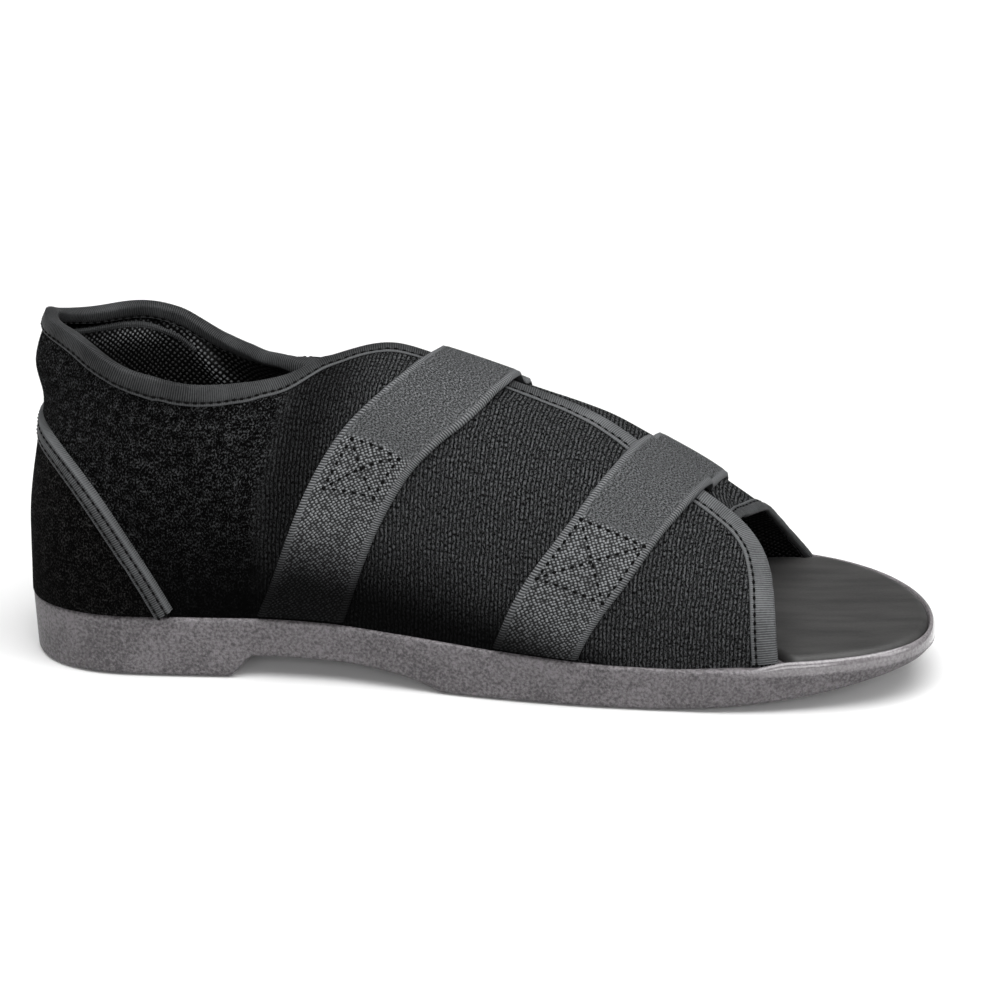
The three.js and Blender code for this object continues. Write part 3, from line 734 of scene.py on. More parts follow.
# Each flap's rim from the back seam to its front corner, as a turn, by share of the length.
near_rim = named_rows(
    "at turn",
    (0, 0.484), (0.083, 0.474), (0.128, 0.456), (0.166, 0.439), (0.195, 0.422), (0.218, 0.416),
    (0.24, 0.436), (0.262, 0.492), (0.284, 0.567), (0.305, 0.65), (0.326, 0.732), (0.348, 0.785),
    (0.369, 0.857), (0.389, 0.925), (0.41, 0.952), (0.454, 0.985), (0.5, 1), (0.6, 0.985),
    (0.67, 0.975), (0.694, 0.955), (0.731, 0.9), (0.77, 0.84), (0.817, 0.777), (0.838, 0.757),
    (0.85, 0.74),
)
far_rim = named_rows(
    "at turn",
    (0, 0.484), (0.046, 0.46), (0.094, 0.45), (0.167, 0.449), (0.207, 0.44), (0.223, 0.438),
    (0.24, 0.449), (0.258, 0.484), (0.284, 0.562), (0.305, 0.648), (0.326, 0.738), (0.345, 0.798),
    (0.363, 0.842), (0.382, 0.93), (0.4, 1.02), (0.47, 1.24), (0.55, 1.38), (0.68, 1.45), (0.836, 1.45),
)
# How far each flap's front edge stands back from its foot, as a share of the length, by turn.
near_front = named_rows(
    "at back",
    (0, 0), (0.2, 0.0034), (0.367, 0.006), (0.5, 0.0092), (0.609, 0.0165), (0.698, 0.029), (0.74, 0.0458),
)
far_front = named_rows(
    "at back",
    (0, 0), (0.14, 0.0105), (0.28, 0.0235), (0.51, 0.038), (0.735, 0.051), (0.96, 0.063), (1.2, 0.0765),
    (1.45, 0.0939),
)


class Flap:
    """One half of the upper, a patch between the sole, the back seam, the rim and the front edge."""

    def __init__(self, side, end, rim_rows, front_rows):
        self.side = side
        self.foot = along(end)
        self.rim_turn = curve_through(rim_rows, "turn")
        self.set_back = curve_through(front_rows, "back")
        self.corner_turn = front_rows["at"][-1]
        self.corner_q = self.foot - self.set_back(self.corner_turn) * length
        self.top_share = rim_rows["at"][-1]
        self.back_turn = rim_rows["turn"][0]

    def rim(self, u):
        return self.side * self.corner_q * u, self.rim_turn(self.top_share * u)

    def front(self, v):
        return self.side * (self.foot - self.set_back(self.corner_turn * v) * length), self.corner_turn * v

    def place(self, u, v):
        """A place on the patch, blended from its edges: u from the back seam to the front edge, v from
        the sole to the rim."""
        rim_q, rim_turn = self.corner_q * u, self.rim_turn(self.top_share * u)
        front_q = self.foot - self.set_back(self.corner_turn * v) * length
        corner = (1 - v) * self.foot + v * self.corner_q
        q = (1 - v) * self.foot * u + v * rim_q + u * front_q - u * corner
        edge_turn = (1 - u) * self.back_turn * v + u * self.corner_turn * v
        turn = v * rim_turn + edge_turn - v * ((1 - u) * self.back_turn + u * self.corner_turn)
        return self.side * q, turn


near_flap = Flap(-1, near_flap_end, near_rim, near_front)
far_flap = Flap(1, far_flap_end, far_rim, far_front)

# The seam between quarter and vamp, by turn, as a share of the length along the footprint.
panel_seam = curve_through(named_rows(
    "at along",
    (0.0, 0.333), (0.218, 0.333), (0.328, 0.337), (0.416, 0.346), (0.548, 0.354), (0.674, 0.363),
    (1.4, 0.38),
), "along")


def from_seam(q, turn):
    """How far in front of the seam a place lies."""
    return np.abs(q) - panel_seam(turn) * length


# The soft creases of the near flap, each a trough or ridge about a line on the skin: the line's two ends
# as a share of the length along the footprint and a turn, then how wide and how high it is.
crease_rows = [
    ((0.352, 0.60), (0.334, 0.10), 4.2, -1.5),
    ((0.300, 0.44), (0.296, 0.08), 8.0, 0.7),
    ((0.150, 0.34), (0.262, 0.30), 4.5, -0.5),
    ((0.250, 0.30), (0.330, 0.06), 7.0, -0.7),
    ((0.500, 0.16), (0.640, 0.10), 6.0, -0.5),
    ((0.560, 0.62), (0.470, 0.36), 6.0, -0.4),
    ((0.770, 0.52), (0.700, 0.26), 5.0, -0.4),
    ((0.820, 0.40), (0.800, 0.12), 5.0, 0.35),
]


def creases(q, turn):
    """How far the creases raise or sink a place."""
    lift = np.zeros(np.broadcast(q, turn).shape)
    for (q0, t0), (q1, t1), width, height in crease_rows:
        run = np.array([(q1 - q0) * length, (t1 - t0) * skin_per_turn])
        reach = np.linalg.norm(run)
        dx, dy = np.abs(q) - q0 * length, (turn - t0) * skin_per_turn
        t = (dx * run[0] + dy * run[1]) / reach
        off = (dx * run[1] - dy * run[0]) / reach
        ends = rising(t, -width, width) * (1 - rising(t, reach - width, reach + width))
        lift = lift + height * np.exp(-(off / width) ** 2) * ends
    return lift


def arc_lengths(grid):
    """The way up each column of a grid, in millimetres from its first row."""
    steps = np.linalg.norm(np.diff(grid, axis=1), axis=2)
    return np.concatenate([np.zeros((len(grid), 1)), np.cumsum(steps, 1)], 1)


def shell(name, outer, inner, flat, marks):
    """A closed skin between two grids of points. Flat holds each place's two coordinates on the
    uncut cloth, in millimetres, and marks names numbers that the material reads at each place. The
    inner faces take the second material."""
    columns, rows = outer.shape[:2]
    index = np.arange(columns * rows).reshape(columns, rows)
    count = index.size

    def quads(grid):
        corners = (grid[:-1, :-1], grid[:-1, 1:], grid[1:, 1:], grid[1:, :-1])
        return np.stack(corners, -1).reshape(-1, 4)

    edge = np.concatenate([index[:, 0], index[-1, 1:], index[-2::-1, -1], index[0, -2:0:-1]])
    border = np.stack([edge, np.roll(edge, -1), np.roll(edge, -1) + count, edge + count], -1)
    outside, inside = quads(index), quads(index + count)[:, ::-1]
    faces = np.concatenate([outside, border, inside])
    points = np.concatenate([outer.reshape(-1, 3), inner.reshape(-1, 3)])
    corners = points[faces]
    centre = points.mean(0)
    a, b, c, d = (corners[:, k] - centre for k in range(4))
    volume = np.sum(a * np.cross(b, c)) + np.sum(a * np.cross(c, d))
    if volume < 0:
        faces = faces[:, ::-1]
    mesh = bpy.data.meshes.new(name)
    mesh.from_pydata(in_frame(points).tolist(), [], faces.tolist())
    which = np.zeros(len(faces), np.int32)
    which[len(outside) + len(border):] = 1
    mesh.polygons.foreach_set("material_index", which)
    places = np.tile(flat.reshape(-1, 2), (2, 1)) * MM
    corner_points = np.empty(len(mesh.loops), np.int32)
    mesh.loops.foreach_get("vertex_index", corner_points)
    mesh.uv_layers.new(name="flat").data.foreach_set("uv", places[corner_points].ravel())
    for mark_name, value in marks.items():
        numbers = np.tile(np.broadcast_to(value, (columns, rows)).ravel(), 2).astype(np.float32)
        mesh.attributes.new(mark_name, "FLOAT", "POINT").data.foreach_set("value", numbers)
    return mesh


def looped_cloth(name, dark, light, knitted=None):
    """Looped cloth on its own flat coordinates: brushed flecks, and where it is knitted, wales. Knitted
    holds the wales' dark and light tones."""
    material, tree, shader = new_material(name, 0.95, Specular_IOR_Level=0.03)
    flat = add(tree, "ShaderNodeUVMap", uv_map="flat")
    flecks = noise(tree, flat, 1.6, detail=3, stretch=(1.15, 0.8, 1), roughness=0.75)
    clumps = noise(tree, flat, 0.35, detail=2)
    pile = spread_between(tree, shared(tree, flecks, 0.8, clumps, 0.2), 0.505, 0.61)
    tone = blended(tree, pile, dark, light)
    if knitted:
        wale_pitch = 1.25
        wander = noise(tree, flat, 0.1, detail=1)
        crosswise = add(tree, "ShaderNodeSeparateXYZ", {0: flat})
        wale_count = shared(tree, crosswise, 1 / (wale_pitch * MM), wander, 1.3)
        rib = sums(tree, "SINE", scaled(tree, wale_count, 2 * math.pi))
        rib = spread_between(tree, rib, -0.9, 0.4, 0.14, 1)
        loops = noise(tree, flat, 1.75, detail=3, stretch=(1.15, 0.6, 1), roughness=0.75)
        loops = spread_between(tree, loops, 0.435, 0.575)
        wales = sums(tree, "MULTIPLY", rib, loops)
        vamp = mark(tree, "vamp")
        tone = blended(tree, vamp, tone, blended(tree, wales, *knitted))
        pile = add(tree, "ShaderNodeMix", {0: vamp, 2: pile, 3: wales})
    # Painted shade: where the low mark says, the cloth is darkened towards its dark tone.
    tone = blended(tree, scaled(tree, mark(tree, "low"), 0.93), tone, dark)
    tree.links.new(tone, shader.inputs["Base Color"])
    raise_surface(tree, shader, pile, 0.3)
    return material


def knots_of(tree, flat, pitch, degrees, unevenness, edge, centre):
    """The knots of a weave, 1 in each knot's middle and 0 between them, set at a pitch in millimetres on
    lines turned by so many degrees."""
    wanted = {"Vector": flat, "Rotation": (0, 0, math.radians(degrees)), "Scale": (1 / (pitch * MM),) * 3}
    turned = add(tree, "ShaderNodeMapping", wanted)
    cells = add(tree, "ShaderNodeTexVoronoi", {"Vector": turned, "Scale": 1, "Randomness": unevenness})
    return spread_between(tree, cells, edge, centre)


def mesh_lining():
    """Dark mesh, with a highlight painted on its knots over the padded rolls, and black painted as a shadow
    above the lining's edge.
    """
    material, tree, shader = new_material("mesh_lining", 0.45)
    flat = add(tree, "ShaderNodeUVMap", uv_map="flat")
    knots = knots_of(tree, flat, 1.5, 38, 0.15, 0.42, 0.16)
    painted_slit_shadow = mark(tree, "painted_slit_shadow")
    highlighted_knot_tone = blended(tree, mark(tree, "painted_pad_highlight"), grey(0.03), grey(0.3, -0.03))
    # Painted shadow: black and without shine above the lining's edge, under the collar's rim.
    tone = blended(tree, painted_slit_shadow, blended(tree, knots, grey(0.001), highlighted_knot_tone), grey(0.0))
    tree.links.new(tone, shader.inputs["Base Color"])
    tree.links.new(spread_between(tree, painted_slit_shadow, 0, 1, 0.15, 0), shader.inputs["Specular IOR Level"])
    raise_surface(tree, shader, knots, 0.4)
    return material


# Where shade is painted on the cloth above the sole, by share of the length: up to the first height it is
# painted all dark, and from the second it is as light as the rest.
painted_shade_rows = named_rows(
    "at dark light", (0.2, -5, 62), (0.31, 13, 38), (0.44, 5, 34), (0.57, 0, 18), (0.7, -8, 1),
)


def painted_low_shade(q, points):
    """How much painted shade the cloth takes at its points, from 0 to 1."""
    above = points[..., 2] - sole_top(station_of(q))
    at = station_of(q) / length
    dark, light = (np.interp(at, painted_shade_rows["at"], painted_shade_rows[name]) for name in ("dark", "light"))
    return 1 - rising(above, dark, light)


# The lining's upper edge inside the collar, as a turn below the far rim, by share of the length.
lining_drop = curve_through(named_rows(
    "at drop",
    (0, 0.04), (0.07, 0.036), (0.123, 0.032), (0.175, 0.035), (0.218, 0.046), (0.274, 0.066), (0.3, 0.07),
), "drop")


def lining_turn(q):
    """The lining's upper edge, as a turn."""
    return far_flap.rim_turn(np.abs(q) / length) - lining_drop(np.abs(q) / length)


# The two padded rolls inside the far side of the collar: the middle and the reach of each along the
# footprint, then as a turn.
pad_rows = ((46, 17, 0.398, 0.022), (76, 14, 0.4, 0.03))


def lining_pads(q, turn):
    """How full the padded rolls are at a place, from 0 to 1."""
    rear, front = (np.exp(-((q - q0) / width) ** 2 - ((turn - t0) / rise) ** 2)
                   for q0, width, t0, rise in pad_rows)
    return np.maximum(rear, front)


pad_depth = 1.6
rim_wall = 0.7
rim_press = (3, 9)
far_front_wall = 0.2
front_press_start = 2
near_front_press = 9
far_front_press = 17


def inner_lift(q, turn):
    """How far the lining lies under the skin: the wall is pressed thinner in its binding, and the far
    flap's front edge is pressed flat."""
    at = np.abs(q) / length
    near = q < 0
    rim = np.where(near, near_flap.rim_turn(at), far_flap.rim_turn(at))
    to_rim = (rim - turn) * rim_per_turn
    front = np.where(near, near_flap.foot, far_flap.foot)
    set_back = np.where(near, near_flap.set_back(turn), far_flap.set_back(turn))
    to_front = front - set_back * length - np.abs(q)
    front_press = np.where(near, 1 - rim_wall, 1 - far_front_wall)
    front_reach = np.where(near, near_front_press, far_front_press)
    flat_front = front_press * (1 - rising(to_front, front_press_start, front_reach))
    pressed = np.maximum((1 - rim_wall) * (1 - rising(to_rim, *rim_press)), flat_front)
    return wall * (1 - pressed) + pad_depth * lining_pads(q, turn)


columns_per_flap = 150
flap_rows = 56
crease_end = 1.2
slit_shadow_height = 0.008
slit_shadow_end = (52, 66)
seam_blend = 4
painted_strap_shade = 0.75


def make_upper():
    """Both flaps as one sheet, from the near front edge round the heel to the far one, with its lining."""
    u = np.linspace(0, 1, columns_per_flap + 1)
    v = np.linspace(0, 1, flap_rows + 1)
    near_q, near_turn = near_flap.place(u[:0:-1, None], v[None, :])
    far_q, far_turn = far_flap.place(u[:, None], v[None, :])
    q, turn = np.concatenate([near_q, far_q]), np.concatenate([near_turn, far_turn])
    depth = sink(q, turn)
    crease = creases(q, turn) * (turn < crease_end)
    outer = lifted(q, turn, crease - depth)
    inner = lifted(q, turn, crease * 0.5 - depth - inner_lift(q, turn))
    outer[:, 0, 2] -= clearance * 0.8
    wale_lean = 0.1 * turn ** 2 * skin_per_turn * np.sign(q)
    flat = np.stack([q - wale_lean, arc_lengths(outer)], -1)
    past_seam = from_seam(q, turn)
    # Painted shade on the vamp from the panel seam up to the rear strap, where the seam's valley lies.
    painted_shade_behind_strap = painted_strap_shade * rising(past_seam, -4, 3) * (1 - rising(past_seam, 8, 32)) * (turn < 1)
    over_lining = rising(turn, lining_turn(q), lining_turn(q) + slit_shadow_height)
    marks = {
        "vamp": rising(past_seam, -seam_blend, seam_blend),
        # Painted shade: low over the sole, and on the vamp behind the rear strap.
        "low": np.maximum(painted_low_shade(q, outer), painted_shade_behind_strap),
        # Painted highlight on the mesh's knots over the padded rolls.
        "painted_pad_highlight": lining_pads(q, turn),
        # Painted shadow above the lining's edge, at the back of the far side.
        "painted_slit_shadow": over_lining * (q > 0) * (1 - rising(q, *slit_shadow_end)),
    }
    return shell("upper_cloth", outer, inner, flat, marks)


cloth = looped_cloth("looped_cloth", grey(0.0006), grey(0.1, -0.03), (grey(0.001), grey(0.135, -0.03)))
upper = finished(make_upper(), [cloth, mesh_lining()])
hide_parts("upper")


# Heel counter
# A triangle of thicker brushed cloth, laid on the upper round the heel. Its slanting edges are stitched
# down under a tape, and its foot ends at the sole.
counter_thickness = 1.3
counter_binding_width = 4.6
# The counter's slanting edge from the back seam down to its foot, as a turn, by share of the length.
counter_rows = named_rows(
    "at turn",
    (0, 0.309), (0.041, 0.305), (0.085, 0.289), (0.124, 0.26), (0.152, 0.22), (0.175, 0.17),
    (0.199, 0.112), (0.221, 0.053), (0.238, 0),
)
counter_end = counter_rows["at"][-1] * length
counter_reach = 0.985 * counter_end
counter_turn = curve_through(counter_rows, "turn")
heel_press = 0.45
heel_press_reach = (3, 24)


def counter_top(q):
    """The counter's slanting edge, as a turn."""
    return counter_turn(np.abs(q) / length)


def counter_thin(q):
    """The counter and its tape are pressed thinner round the back of the heel."""
    return mix(heel_press, 1, rising(np.abs(q), *heel_press_reach))


def make_counter():
    """The overlay from one foot over the back of the heel to the other."""
    q = np.linspace(-1, 1, 181)[:, None] * counter_reach
    turn = counter_top(q) * np.linspace(0, 1, 25)[None, :]
    q = np.broadcast_to(q, turn.shape)
    crease = creases(q, turn)
    outer = lifted(q, turn, crease + clearance + counter_thickness * counter_thin(q))
    inner = lifted(q, turn, crease + clearance)
    flat = np.stack([q, arc_lengths(outer)], -1)
    # Painted shade low over the sole, six tenths as strong as on the upper.
    return shell("counter_cloth", outer, inner, flat, {"low": painted_low_shade(q, outer) * 0.6})


counter_cloth = looped_cloth("counter_cloth", grey(0.0008, 0.02), grey(0.075, 0.02))
counter = finished(make_counter(), [counter_cloth, counter_cloth])
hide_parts("heel_counter")


# Binding tape
# Ribbed tape folded over the upper's edge and sewn through: up the near flap's front, back along the
# throat, round the collar and along the far side until it goes under the near flap. A second tape binds
# the far flap's front edge, and a flat one covers the counter's slanting edges.
collar_tape_width = 5.6
toe_tape_width = 3
toe_tape_thickness = 0.5
toe_tape_gap = 0.15
back_seam_rise = 1.76
lap_start = 0.345
hem_width = 0.9
tape_rib_pitch = 0.7
tape_spacing = 1.0
inner_leg = 0.72
pucker_waves = ((0.1, 3.1), (0.12, 11.3))
collar_at_heel = 0.66
collar_at_side = 0.84
collar_at_front = 1.1
collar_widens = (6, 40)
front_blend = (0.55 * length, 0.72 * length)


def calmed(rows, passes):
    """The same rows, averaged with their neighbours so many times. The two end rows stay."""
    for _ in range(passes):
        rows[1:-1] = (rows[:-2] + 2 * rows[1:-1] + rows[2:]) / 4
    return rows


def even_path(q, turn, spacing, smoothing=40):
    """The path over the skin at an even spacing, with its direction into the cloth."""
    q, turn = calmed(q.copy(), smoothing), calmed(turn.copy(), smoothing)
    points = skin(q, turn)
    run = np.concatenate([[0], np.cumsum(np.linalg.norm(np.diff(points, axis=0), axis=1))])
    count = int(run[-1] / spacing)
    at = np.linspace(0, run[-1], count + 1)
    q, turn = np.interp(at, run, q), np.interp(at, run, turn)
    for _ in range(3):
        points = skin(q, turn)
        q, turn = walked(q, turn, calmed(points.copy(), 12) - points, 1)
    points = skin(q, turn)
    ahead = np.concatenate([points[1:], points[-1:] * 2 - points[-2:-1]])
    behind = np.concatenate([points[:1] * 2 - points[1:2], points[:-1]])
    inward = unit(calmed(np.cross(frame_at(q, turn)[2], unit(ahead - behind)), 12))
    return q, turn, inward, at


def ribs_of(tree, flat, pitch):
    """Fine ribs across a tape, from 0 to 1, at a pitch in millimetres along it."""
    lengthwise = add(tree, "ShaderNodeSeparateXYZ", {0: flat})
    ribs = sums(tree, "SINE", scaled(tree, lengthwise, 2 * math.pi / (pitch * MM)))
    return spread_between(tree, ribs, -1, 1)


def ribbed_tape(name):
    """Grey ribbed tape, paler by its mark, dark along its stitches and light along its hem. On the collar
    tape the mark paints light, paler towards the near flap's front.
    """
    material, tree, shader = new_material(name, 0.55, Specular_IOR_Level=0.12)
    flat = add(tree, "ShaderNodeUVMap", uv_map="flat")
    fuzz = noise(tree, flat, 1.1, detail=3, roughness=0.7)
    blotch = noise(tree, flat, 0.08, detail=3)
    height = shared(tree, ribs_of(tree, flat, tape_rib_pitch), 0.5, fuzz, 0.5)
    worn = spread_between(tree, shared(tree, height, 0.55, blotch, 0.45), 0.37, 0.63)
    shaded_tape = blended(tree, worn, grey(0.004, -0.03), grey(0.048, -0.03))
    lit_tape = blended(tree, worn, grey(0.045, -0.03), grey(0.165, -0.03))
    tone = blended(tree, mark(tree, "pale"), shaded_tape, lit_tape)
    tone = blended(tree, scaled(tree, mark(tree, "hem"), 0.7), tone, grey(0.13, -0.03))
    tone = blended(tree, scaled(tree, mark(tree, "furrow"), 0.9), tone, grey(0.003))
    tree.links.new(tone, shader.inputs["Base Color"])
    raise_surface(tree, shader, height, 0.14)
    return material


def tape_places(at, across):
    """Each place's two coordinates on the flat tape, from the way along it and the way across."""
    return np.stack([np.broadcast_to(at[:, None], across.shape), across], -1)


def tape_marks(count, pale, furrows, hems):
    """What the tape's material reads on its so many rows: how pale it is, and which rows lie in a
    stitch furrow or on a hem."""
    furrow, hem = np.zeros((2, count))
    furrow[furrows] = 1
    hem[hems] = 1
    return {"pale": pale, "furrow": furrow[None, :], "hem": hem[None, :]}


def folded_tape(name, path, width, near, scale, pale, rise=None, wall=wall, thick=binding_thickness):
    """A tape folded over the upper's edge: its outer leg with a stitch furrow and a raised hem, a round
    fold and its inner leg. Near is its gap to the cloth, scale narrows it by place, and rise lifts its
    fold. It gives its mesh and its two rows of stitches."""
    q, turn, inward, at = path
    off = near + thick
    half = wall / 2
    # Each row of the outer leg: how far in from the edge it lies, and the lift of its two faces.
    outer_leg = [
        (width + hem_width, near + 0.12, near), (width + hem_width * 0.7, off * 0.7, near),
        (width + hem_width * 0.1, off * 0.75, near), (width - 0.35, off * 0.62, near),
        (width - 0.8, off * 0.9, near), (width - 1.6, off + 0.06, near), (width * 0.5, off + 0.12, near),
        (width * 0.22, off + 0.1, near), (0, off, near),
    ]
    rows = [(d, d, high, low) for d, high, low in outer_leg]
    for angle in np.linspace(0, math.pi, 11)[1:-1]:
        out_rise, in_rise = math.sin(angle) * off * 0.9, math.sin(angle) * near
        high, low = half + off, half + near
        rows.append((-out_rise, -in_rise, high * math.cos(angle) - half, low * math.cos(angle) - half))
    rows += [(d, d, -wall - high, -wall - low) for d, high, low in outer_leg[::-1]]
    rows = np.array(rows)
    pucker = sum(depth * np.sin(at * 2 * math.pi / wave) for depth, wave in pucker_waves)
    inner_share = np.where(np.arange(len(rows)) > len(rows) // 2, inner_leg, 1)
    grids = []
    for distance, lift, outside in ((rows[:, 0], rows[:, 2], 1), (rows[:, 1], rows[:, 3], 0)):
        reach = distance[None, :] * np.where(distance > 0, scale[:, None] * inner_share, 1)
        if rise is not None:
            reach -= np.where(distance < 0, 1, 0)[None, :] * rise[:, None] * (1 if outside else 0.6)
        to_q, to_turn = walked(q[:, None], turn[:, None], inward[:, None, :], reach)
        # Along the tape the steps are evened out, so that its rows don't cross where the edge bends.
        to_q = q[:, None] + calmed(to_q - q[:, None], 30)
        to_turn = turn[:, None] + calmed(to_turn - turn[:, None], 30)
        side = np.where(lift > -half, 1, -1)[None, :]
        edge = np.exp(-((np.abs(distance) - width * 0.75) / 2) ** 2)[None, :]
        puckered = lift[None, :] + outside * side * edge * pucker[:, None]
        crease = creases(to_q, to_turn) * (to_turn < crease_end)
        grids.append(lifted(to_q, to_turn, puckered - sink(to_q, to_turn) + crease))
    outer, inner = grids
    marks = tape_marks(len(rows), pale[:, None], [3, -4], [0, 1, -2, -1])
    mesh = shell(name, outer, inner, tape_places(at, arc_lengths(outer)), marks)
    return mesh, [outer[:, 3], outer[:, -4]]


front_v = np.linspace(0.035, 1, 90)
rim_u = np.linspace(0, 1, 500)
near_front_q, near_front_turn = near_flap.front(front_v)
near_rim_q, near_rim_turn = near_flap.rim(rim_u[::-1])
far_rim_q, far_rim_turn = far_flap.rim(rim_u)
kept = far_rim_q < along(lap_start * length)
collar_path = even_path(
    np.concatenate([near_front_q, near_rim_q[1:], far_rim_q[1:][kept[1:]]]),
    np.concatenate([near_front_turn, near_rim_turn[1:], far_rim_turn[1:][kept[1:]]]),
    tape_spacing,
)
collar_q = collar_path[0]
seam_rise = back_seam_rise * np.exp(-(collar_q / 3.6) ** 2)
on_front = rising(-collar_q, *front_blend)
round_collar = mix(collar_at_heel, collar_at_side, rising(np.abs(collar_q), *collar_widens))
collar_scale = mix(round_collar, collar_at_front, on_front)
binding_tape = ribbed_tape("binding_tape")
# Painted light: the collar tape grows paler from the collar on to the near flap's front edge.
collar_mesh, collar_lines = folded_tape(
    "collar_tape", collar_path, collar_tape_width, clearance, collar_scale, on_front * 0.9 + 0.1,
    seam_rise, wall=wall * rim_wall)
collar_binding = finished(collar_mesh, [binding_tape, binding_tape], 60)
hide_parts("collar_binding")

toe_path = even_path(*far_flap.front(np.linspace(1, 0.035, 120)), tape_spacing)
toe_scale = np.ones(len(toe_path[0]))
toe_mesh, toe_lines = folded_tape(
    "toe_tape", toe_path, toe_tape_width, toe_tape_gap, toe_scale, toe_scale * 0.35,
    wall=wall * 0.24, thick=toe_tape_thickness)
toe_binding = finished(toe_mesh, [binding_tape, binding_tape], 60)
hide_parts("toe_binding")


def flat_tape(name, path, width, low):
    """A flat tape with a stitch furrow beside each edge. Low is its gap to the skin over the counter,
    and its outer edge steps down to the upper. It gives its mesh and its two rows of stitches."""
    q, turn, inward, at = path
    # Each row: how far in from the counter's edge it lies, and its lift.
    rows = np.array([
        (width + 0.2, low), (width, low + 0.5), (width - 0.5, low + 0.62), (width - 1.0, low + 0.45),
        (width - 1.6, low + 0.8), (width / 2, low + 0.9), (1.4, low + 0.8), (0.9, low + 0.5),
        (0.4, low + 0.7), (-0.3, low + 0.5), (-0.9, clearance + 0.3), (-1.2, clearance),
    ])
    thin = counter_thin(q)[:, None]
    to_q, to_turn = walked(q[:, None], turn[:, None], inward[:, None, :], rows[:, 0][None, :])
    under = np.minimum(np.where(rows[:, 0] > 0, low - 0.1, clearance * 0.6), rows[:, 1])
    crease = creases(to_q, to_turn)
    outer = lifted(to_q, to_turn, rows[:, 1][None, :] * thin + crease)
    inner = lifted(to_q, to_turn, under[None, :] * thin - 0.02 + crease)
    marks = tape_marks(len(rows), 0.6, [3, 7], [1, 9])
    mesh = shell(name, outer, inner, tape_places(at, arc_lengths(outer)), marks)
    return mesh, [outer[:, 3], outer[:, 7]]


counter_q = np.linspace(-1, 1, 300) * counter_reach
counter_path = even_path(counter_q, counter_top(counter_q), tape_spacing)
counter_mesh, counter_lines = flat_tape(
    "counter_tape", counter_path, counter_binding_width, clearance * 2 + counter_thickness)
counter_binding = finished(counter_mesh, [binding_tape, binding_tape], 60)
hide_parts("counter_binding")


def make_lining_edge():
    """The narrow tape along the lining's upper edge, inside the far side of the collar."""
    path_q = np.linspace(2, 68, 140)
    q, turn, inward, at = even_path(path_q, lining_turn(path_q), tape_spacing, 10)
    across = np.linspace(-1, 1, 9)
    to_q, to_turn = walked(q[:, None], turn[:, None], inward[:, None, :], across[None, :] * 0.9)
    base = inner_lift(to_q, to_turn)
    outer = lifted(to_q, to_turn, 0.4 - base)
    inner = lifted(to_q, to_turn, -base - 0.15 - 0.75 * round_end(np.abs(across), 3)[None, :])
    flat = tape_places(at, np.broadcast_to(across, to_q.shape))
    marks = {"pale": 0.15, "furrow": (np.abs(across) < 0.2)[None, :] * 0.7, "hem": 0.0}
    return shell("lining_edge", outer, inner, flat, marks)


lining_edge = finished(make_lining_edge(), [binding_tape, binding_tape], 60)


# Stitches
# Black thread, sewn through by machine. Each seam is a row of short raised stitches, in a furrow of its
# tape or in a box on a strap.
thread = new_material("black_thread", 0.6, Base_Color=grey(0.003), Specular_IOR_Level=0.04)[0]


def stitch_nodes():
    """Nodes that set one rounded stitch at each pitch along a line, turned along it."""
    tree = bpy.data.node_groups.new("stitches", "GeometryNodeTree")
    kinds = (("Line", "NodeSocketGeometry"), ("Pitch", "NodeSocketFloat"), ("Length", "NodeSocketFloat"),
             ("Thickness", "NodeSocketFloat"), ("Thread", "NodeSocketMaterial"))
    names = {}
    for name, kind in kinds:
        names[name] = tree.interface.new_socket(name=name, in_out="INPUT", socket_type=kind).identifier
    tree.interface.new_socket(name="Stitches", in_out="OUTPUT", socket_type="NodeSocketGeometry")
    given = tree.nodes.new("NodeGroupInput").outputs
    line = add(tree, "GeometryNodeMeshToCurve", {0: given["Line"]})
    spacing = {"Curve": line, "Length": given["Pitch"]}
    spaced = add(tree, "GeometryNodeResampleCurve", spacing, mode="LENGTH")
    tangent = add(tree, "GeometryNodeInputTangent")
    turned = add(tree, "FunctionNodeAlignRotationToVector", {"Vector": tangent}, axis="X")
    thick = given["Thickness"]
    size = add(tree, "ShaderNodeCombineXYZ", {"X": given["Length"], "Y": thick, "Z": thick})
    bead = add(tree, "GeometryNodeMeshUVSphere", {"Segments": 8, "Rings": 5, "Radius": 0.5})
    row = add(tree, "GeometryNodeInstanceOnPoints",
              {"Points": spaced, "Instance": bead, "Rotation": turned, "Scale": size})
    real = add(tree, "GeometryNodeRealizeInstances", {"Geometry": row})
    smooth = add(tree, "GeometryNodeSetShadeSmooth", {"Geometry": real})
    black = add(tree, "GeometryNodeSetMaterial", {"Geometry": smooth, "Material": given["Thread"]})
    tree.links.new(black, tree.nodes.new("NodeGroupOutput").inputs[0])
    return tree, names


stitch_tree, stitch_sockets = stitch_nodes()


